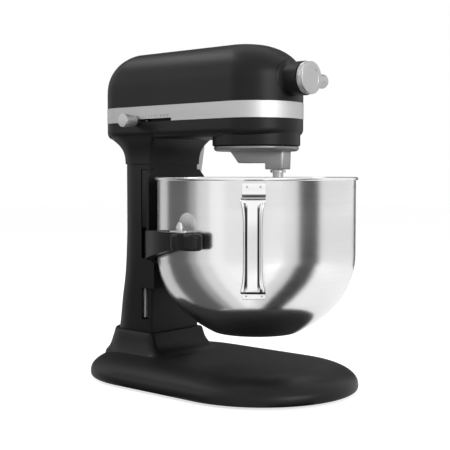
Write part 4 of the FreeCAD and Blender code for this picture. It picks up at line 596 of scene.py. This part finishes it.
# Planetary: a dished carrier with a cast arm and a squarish boss, turned as the drive rests
planetSpec = {"turn": 20.0, "high": 295.0, "disc": 290.0, "radius": 46.9, "hub": 10.4, "hubTop": 305.9,
              "tail": 18.0, "slope": 11.5, "armLow": 275.3, "bossLow": 267.6, "back": 16.5, "front": 39.5,
              "lean": 0.8, "sunk": 1.0, "half": 15.5, "corner": 4.0, "edge": 1.2}


def makePlanetArm(spec):
    mesh = bmesh.new()
    root = spec["disc"] + spec["sunk"]
    side = [(-spec["tail"] - spec["slope"], root), (-spec["tail"], spec["armLow"]),
            (spec["back"], spec["armLow"]), (spec["back"], spec["bossLow"]),
            (spec["front"], spec["bossLow"]), (spec["front"] + spec["lean"], root)]
    face = mesh.faces.new([mesh.verts.new((x * mm, -spec["half"] * mm, z * mm)) for x, z in side])
    thickened(mesh, [face], 2 * spec["half"])
    corners = [edge for edge in mesh.edges if all(v.co.x > (spec["front"] - 0.1) * mm for v in edge.verts)
               and abs(edge.verts[0].co.z - edge.verts[1].co.z) > 5 * mm]
    bmesh.ops.bevel(mesh, geom=corners, offset=spec["corner"] * mm, segments=6, profile=0.5, affect="EDGES",
                    material=-1)
    soften(mesh, spec["edge"], 3, 25.0)
    pen = Pen(mesh, 0.0, spec["disc"])
    pen.lines((spec["radius"], spec["disc"]), (spec["radius"], spec["high"]), (spec["hub"], spec["high"]),
              (spec["hub"], spec["hubTop"]), (0.0, spec["hubTop"]))
    pen.turn(72)
    turned(mesh, spec["turn"], "Z")
    moved(mesh, (driveX, 0.0, 0.0))
    newPiece("planetArm", mesh, castGrey, "planetary", ["planet_carrier"])


makePlanetArm(planetSpec)

# Drip ring: a rounded gutter round the carrier
dripSpec = {"inner": 46.95, "outer": 51.6, "low": 289.6, "high": 295.2, "round": 4.0, "edge": 0.5,
            "inEdge": 0.3, "inEdgeTall": 0.6}


def makeDripRing(spec):
    mesh = bmesh.new()
    inner, outer, low, high = spec["inner"], spec["outer"], spec["low"], spec["high"]
    pen = Pen(mesh, inner, high)
    pen.lines((inner, low + spec["inEdgeTall"]), (inner + spec["inEdge"], low), (outer - spec["round"], low))
    pen.arc(outer - spec["round"], low + spec["round"], -90.0, 8)
    pen.lines((outer, high - spec["edge"]), (outer - spec["edge"], high), (inner, high))
    pen.turn(128, (driveX, 0.0, 0.0))
    newPiece("dripRing", mesh, dripSilver, "planetary", ["drip_ring"])


makeDripRing(dripSpec)
print("drive ready")

# Camera at the photograph's place
viewSpec = {"place": (0.846, -0.930, 0.263), "ahead": (-0.668, 0.742, -0.0518), "lens": 79.8}


def addCamera(spec):
    camera = bpy.data.objects.new("camera", bpy.data.cameras.new("camera"))
    bpy.context.collection.objects.link(camera)
    camera.location = spec["place"]
    camera.rotation_euler = Vector(spec["ahead"]).to_track_quat("-Z", "Y").to_euler()
    camera.data.lens = spec["lens"]
    bpy.context.scene.camera = camera


addCamera(viewSpec)

# Softboxes round the object: place, aim, width, depth and power of each
lightSpec = {
    "top": ((-1.1, -0.25, 1.35), (0.0, 0.0, 0.38), 0.9, 0.6, 9.0),
    "left": ((-1.3, -1.0, 0.8), (0.0, 0.0, 0.25), 0.7, 0.7, 10.5),
    "front": ((1.5, -0.2, 0.7), (0.0, 0.0, 0.3), 0.5, 0.5, 16.0),
    "back": ((-0.8, 1.4, 1.0), (0.0, 0.0, 0.25), 0.8, 0.8, 5.0),
}


def addLights(spec):
    for name, (place, aim, wide, deep, power) in spec.items():
        lamp = bpy.data.lights.new(name, "AREA")
        lamp.shape = "RECTANGLE"
        lamp.size = wide
        lamp.size_y = deep
        lamp.energy = power
        box = bpy.data.objects.new(name, lamp)
        bpy.context.collection.objects.link(box)
        box.location = place
        box.rotation_euler = (Vector(aim) - Vector(place)).to_track_quat("-Z", "Y").to_euler()


addLights(lightSpec)

# White surroundings for the camera and for reflections, softer light on everything else
worldSpec = {"seen": 1.0, "cast": 0.5}


def addWorld(spec):
    world = bpy.data.worlds.new("studio")
    world.use_nodes = True
    bpy.context.scene.world = world
    tree = world.node_tree
    rays = tree.nodes.new("ShaderNodeLightPath")
    seen = Wire(tree, rays.outputs["Is Camera Ray"]) + Wire(tree, rays.outputs["Is Glossy Ray"])
    seen = seen + Wire(tree, rays.outputs["Is Transmission Ray"])
    strength = spec["cast"] + (spec["seen"] - spec["cast"]) * seen.calc("MINIMUM", seen, 1.0)
    background = tree.nodes["Background"]
    background.inputs["Color"].default_value = (1, 1, 1, 1)
    tree.links.new(strength.out, background.inputs["Strength"])


addWorld(worldSpec)


# The floor and the cards stand round the object and aren't part of it
def newStage(name, mesh, material):
    data = bpy.data.meshes.new(name)
    mesh.to_mesh(data)
    mesh.free()
    data.materials.append(material)
    item = bpy.data.objects.new(name, data)
    bpy.context.collection.objects.link(item)
    return item


# Pale floor that takes the shadow, and glows a little for the camera and for reflections
floorSpec = {"reach": 6.0, "grey": 0.5, "rough": 0.8, "sheen": 0.1, "seen": 0.7, "mirrored": 0.44}


def addFloor(spec):
    mesh = bmesh.new()
    bmesh.ops.create_grid(mesh, x_segments=1, y_segments=1, size=spec["reach"])
    grey = spec["grey"]
    material = newFinish("paleFloor", baseColor=(grey, grey, grey, 1), roughness=spec["rough"],
                         specularIorLevel=spec["sheen"], emissionColor=(1, 1, 1, 1))[0]
    tree = material.node_tree
    rays = tree.nodes.new("ShaderNodeLightPath")
    glow = spec["seen"] * Wire(tree, rays.outputs["Is Camera Ray"])
    glow = glow + spec["mirrored"] * Wire(tree, rays.outputs["Is Glossy Ray"])
    tree.links.new(glow.out, tree.nodes["Principled BSDF"].inputs["Emission Strength"])
    newStage("floor", mesh, material)


addFloor(floorSpec)

# Grey cards that only reflections see. Each stands round the bowl between two bearings, and its foot runs in
# over the floor, swinging towards the camera as it comes near
cardSpec = {"lift": 0.002, "tall": 1.4,
            # Distance from the bowl's axis, and the swing there in degrees
            "foot": ((1.1, 0.0), (0.95, 3.7), (0.46, 10.5), (0.295, 18.0), (0.228, 24.0), (0.188, 29.0),
                     (0.155, 34.0), (0.124, 40.0)),
            # First and last bearing, the way the foot swings, and the grey. The last has no foot
            "cards": ((-200.0, -166.0, 1, 0.58), (-166.0, -128.0, 1, 0.1), (-128.0, -117.0, 1, 0.32),
                      (-117.0, -101.0, 1, 0.7), (-101.0, -84.0, 1, 0.95), (-20.0, -3.8, -1, 0.72),
                      (-3.8, 21.4, -1, 0.03), (95.0, 170.0, 0, 0.04))}


def addCard(spec, name, first, last, swing, grey):
    mesh = bmesh.new()
    foot = spec["foot"] if swing else spec["foot"][:1]
    bmesh.ops.create_grid(mesh, x_segments=len(foot), y_segments=8, size=1.0)
    for v in mesh.verts:
        row = round((v.co.x + 1) / 2 * len(foot))
        away, turn = foot[max(row - 1, 0)]
        bearing = math.radians(first + (last - first) * (v.co.y + 1) / 2 + swing * turn)
        height = spec["lift"] if row else spec["tall"]
        v.co = (away * math.cos(bearing), away * math.sin(bearing), height)
    moved(mesh, (driveX, 0.0, 0.0))
    card = newStage(name, mesh, newFinish(name, baseColor=(0, 0, 0, 1), specularIorLevel=0.0,
                                          emissionColor=(1, 1, 1, 1), emissionStrength=grey)[0])
    card.visible_camera = False
    card.visible_diffuse = False
    card.visible_shadow = False


for number, card in enumerate(cardSpec["cards"]):
    addCard(cardSpec, f"greyCard{number}", *card)

bpy.context.scene.view_settings.view_transform = "Standard"
print("studio ready")
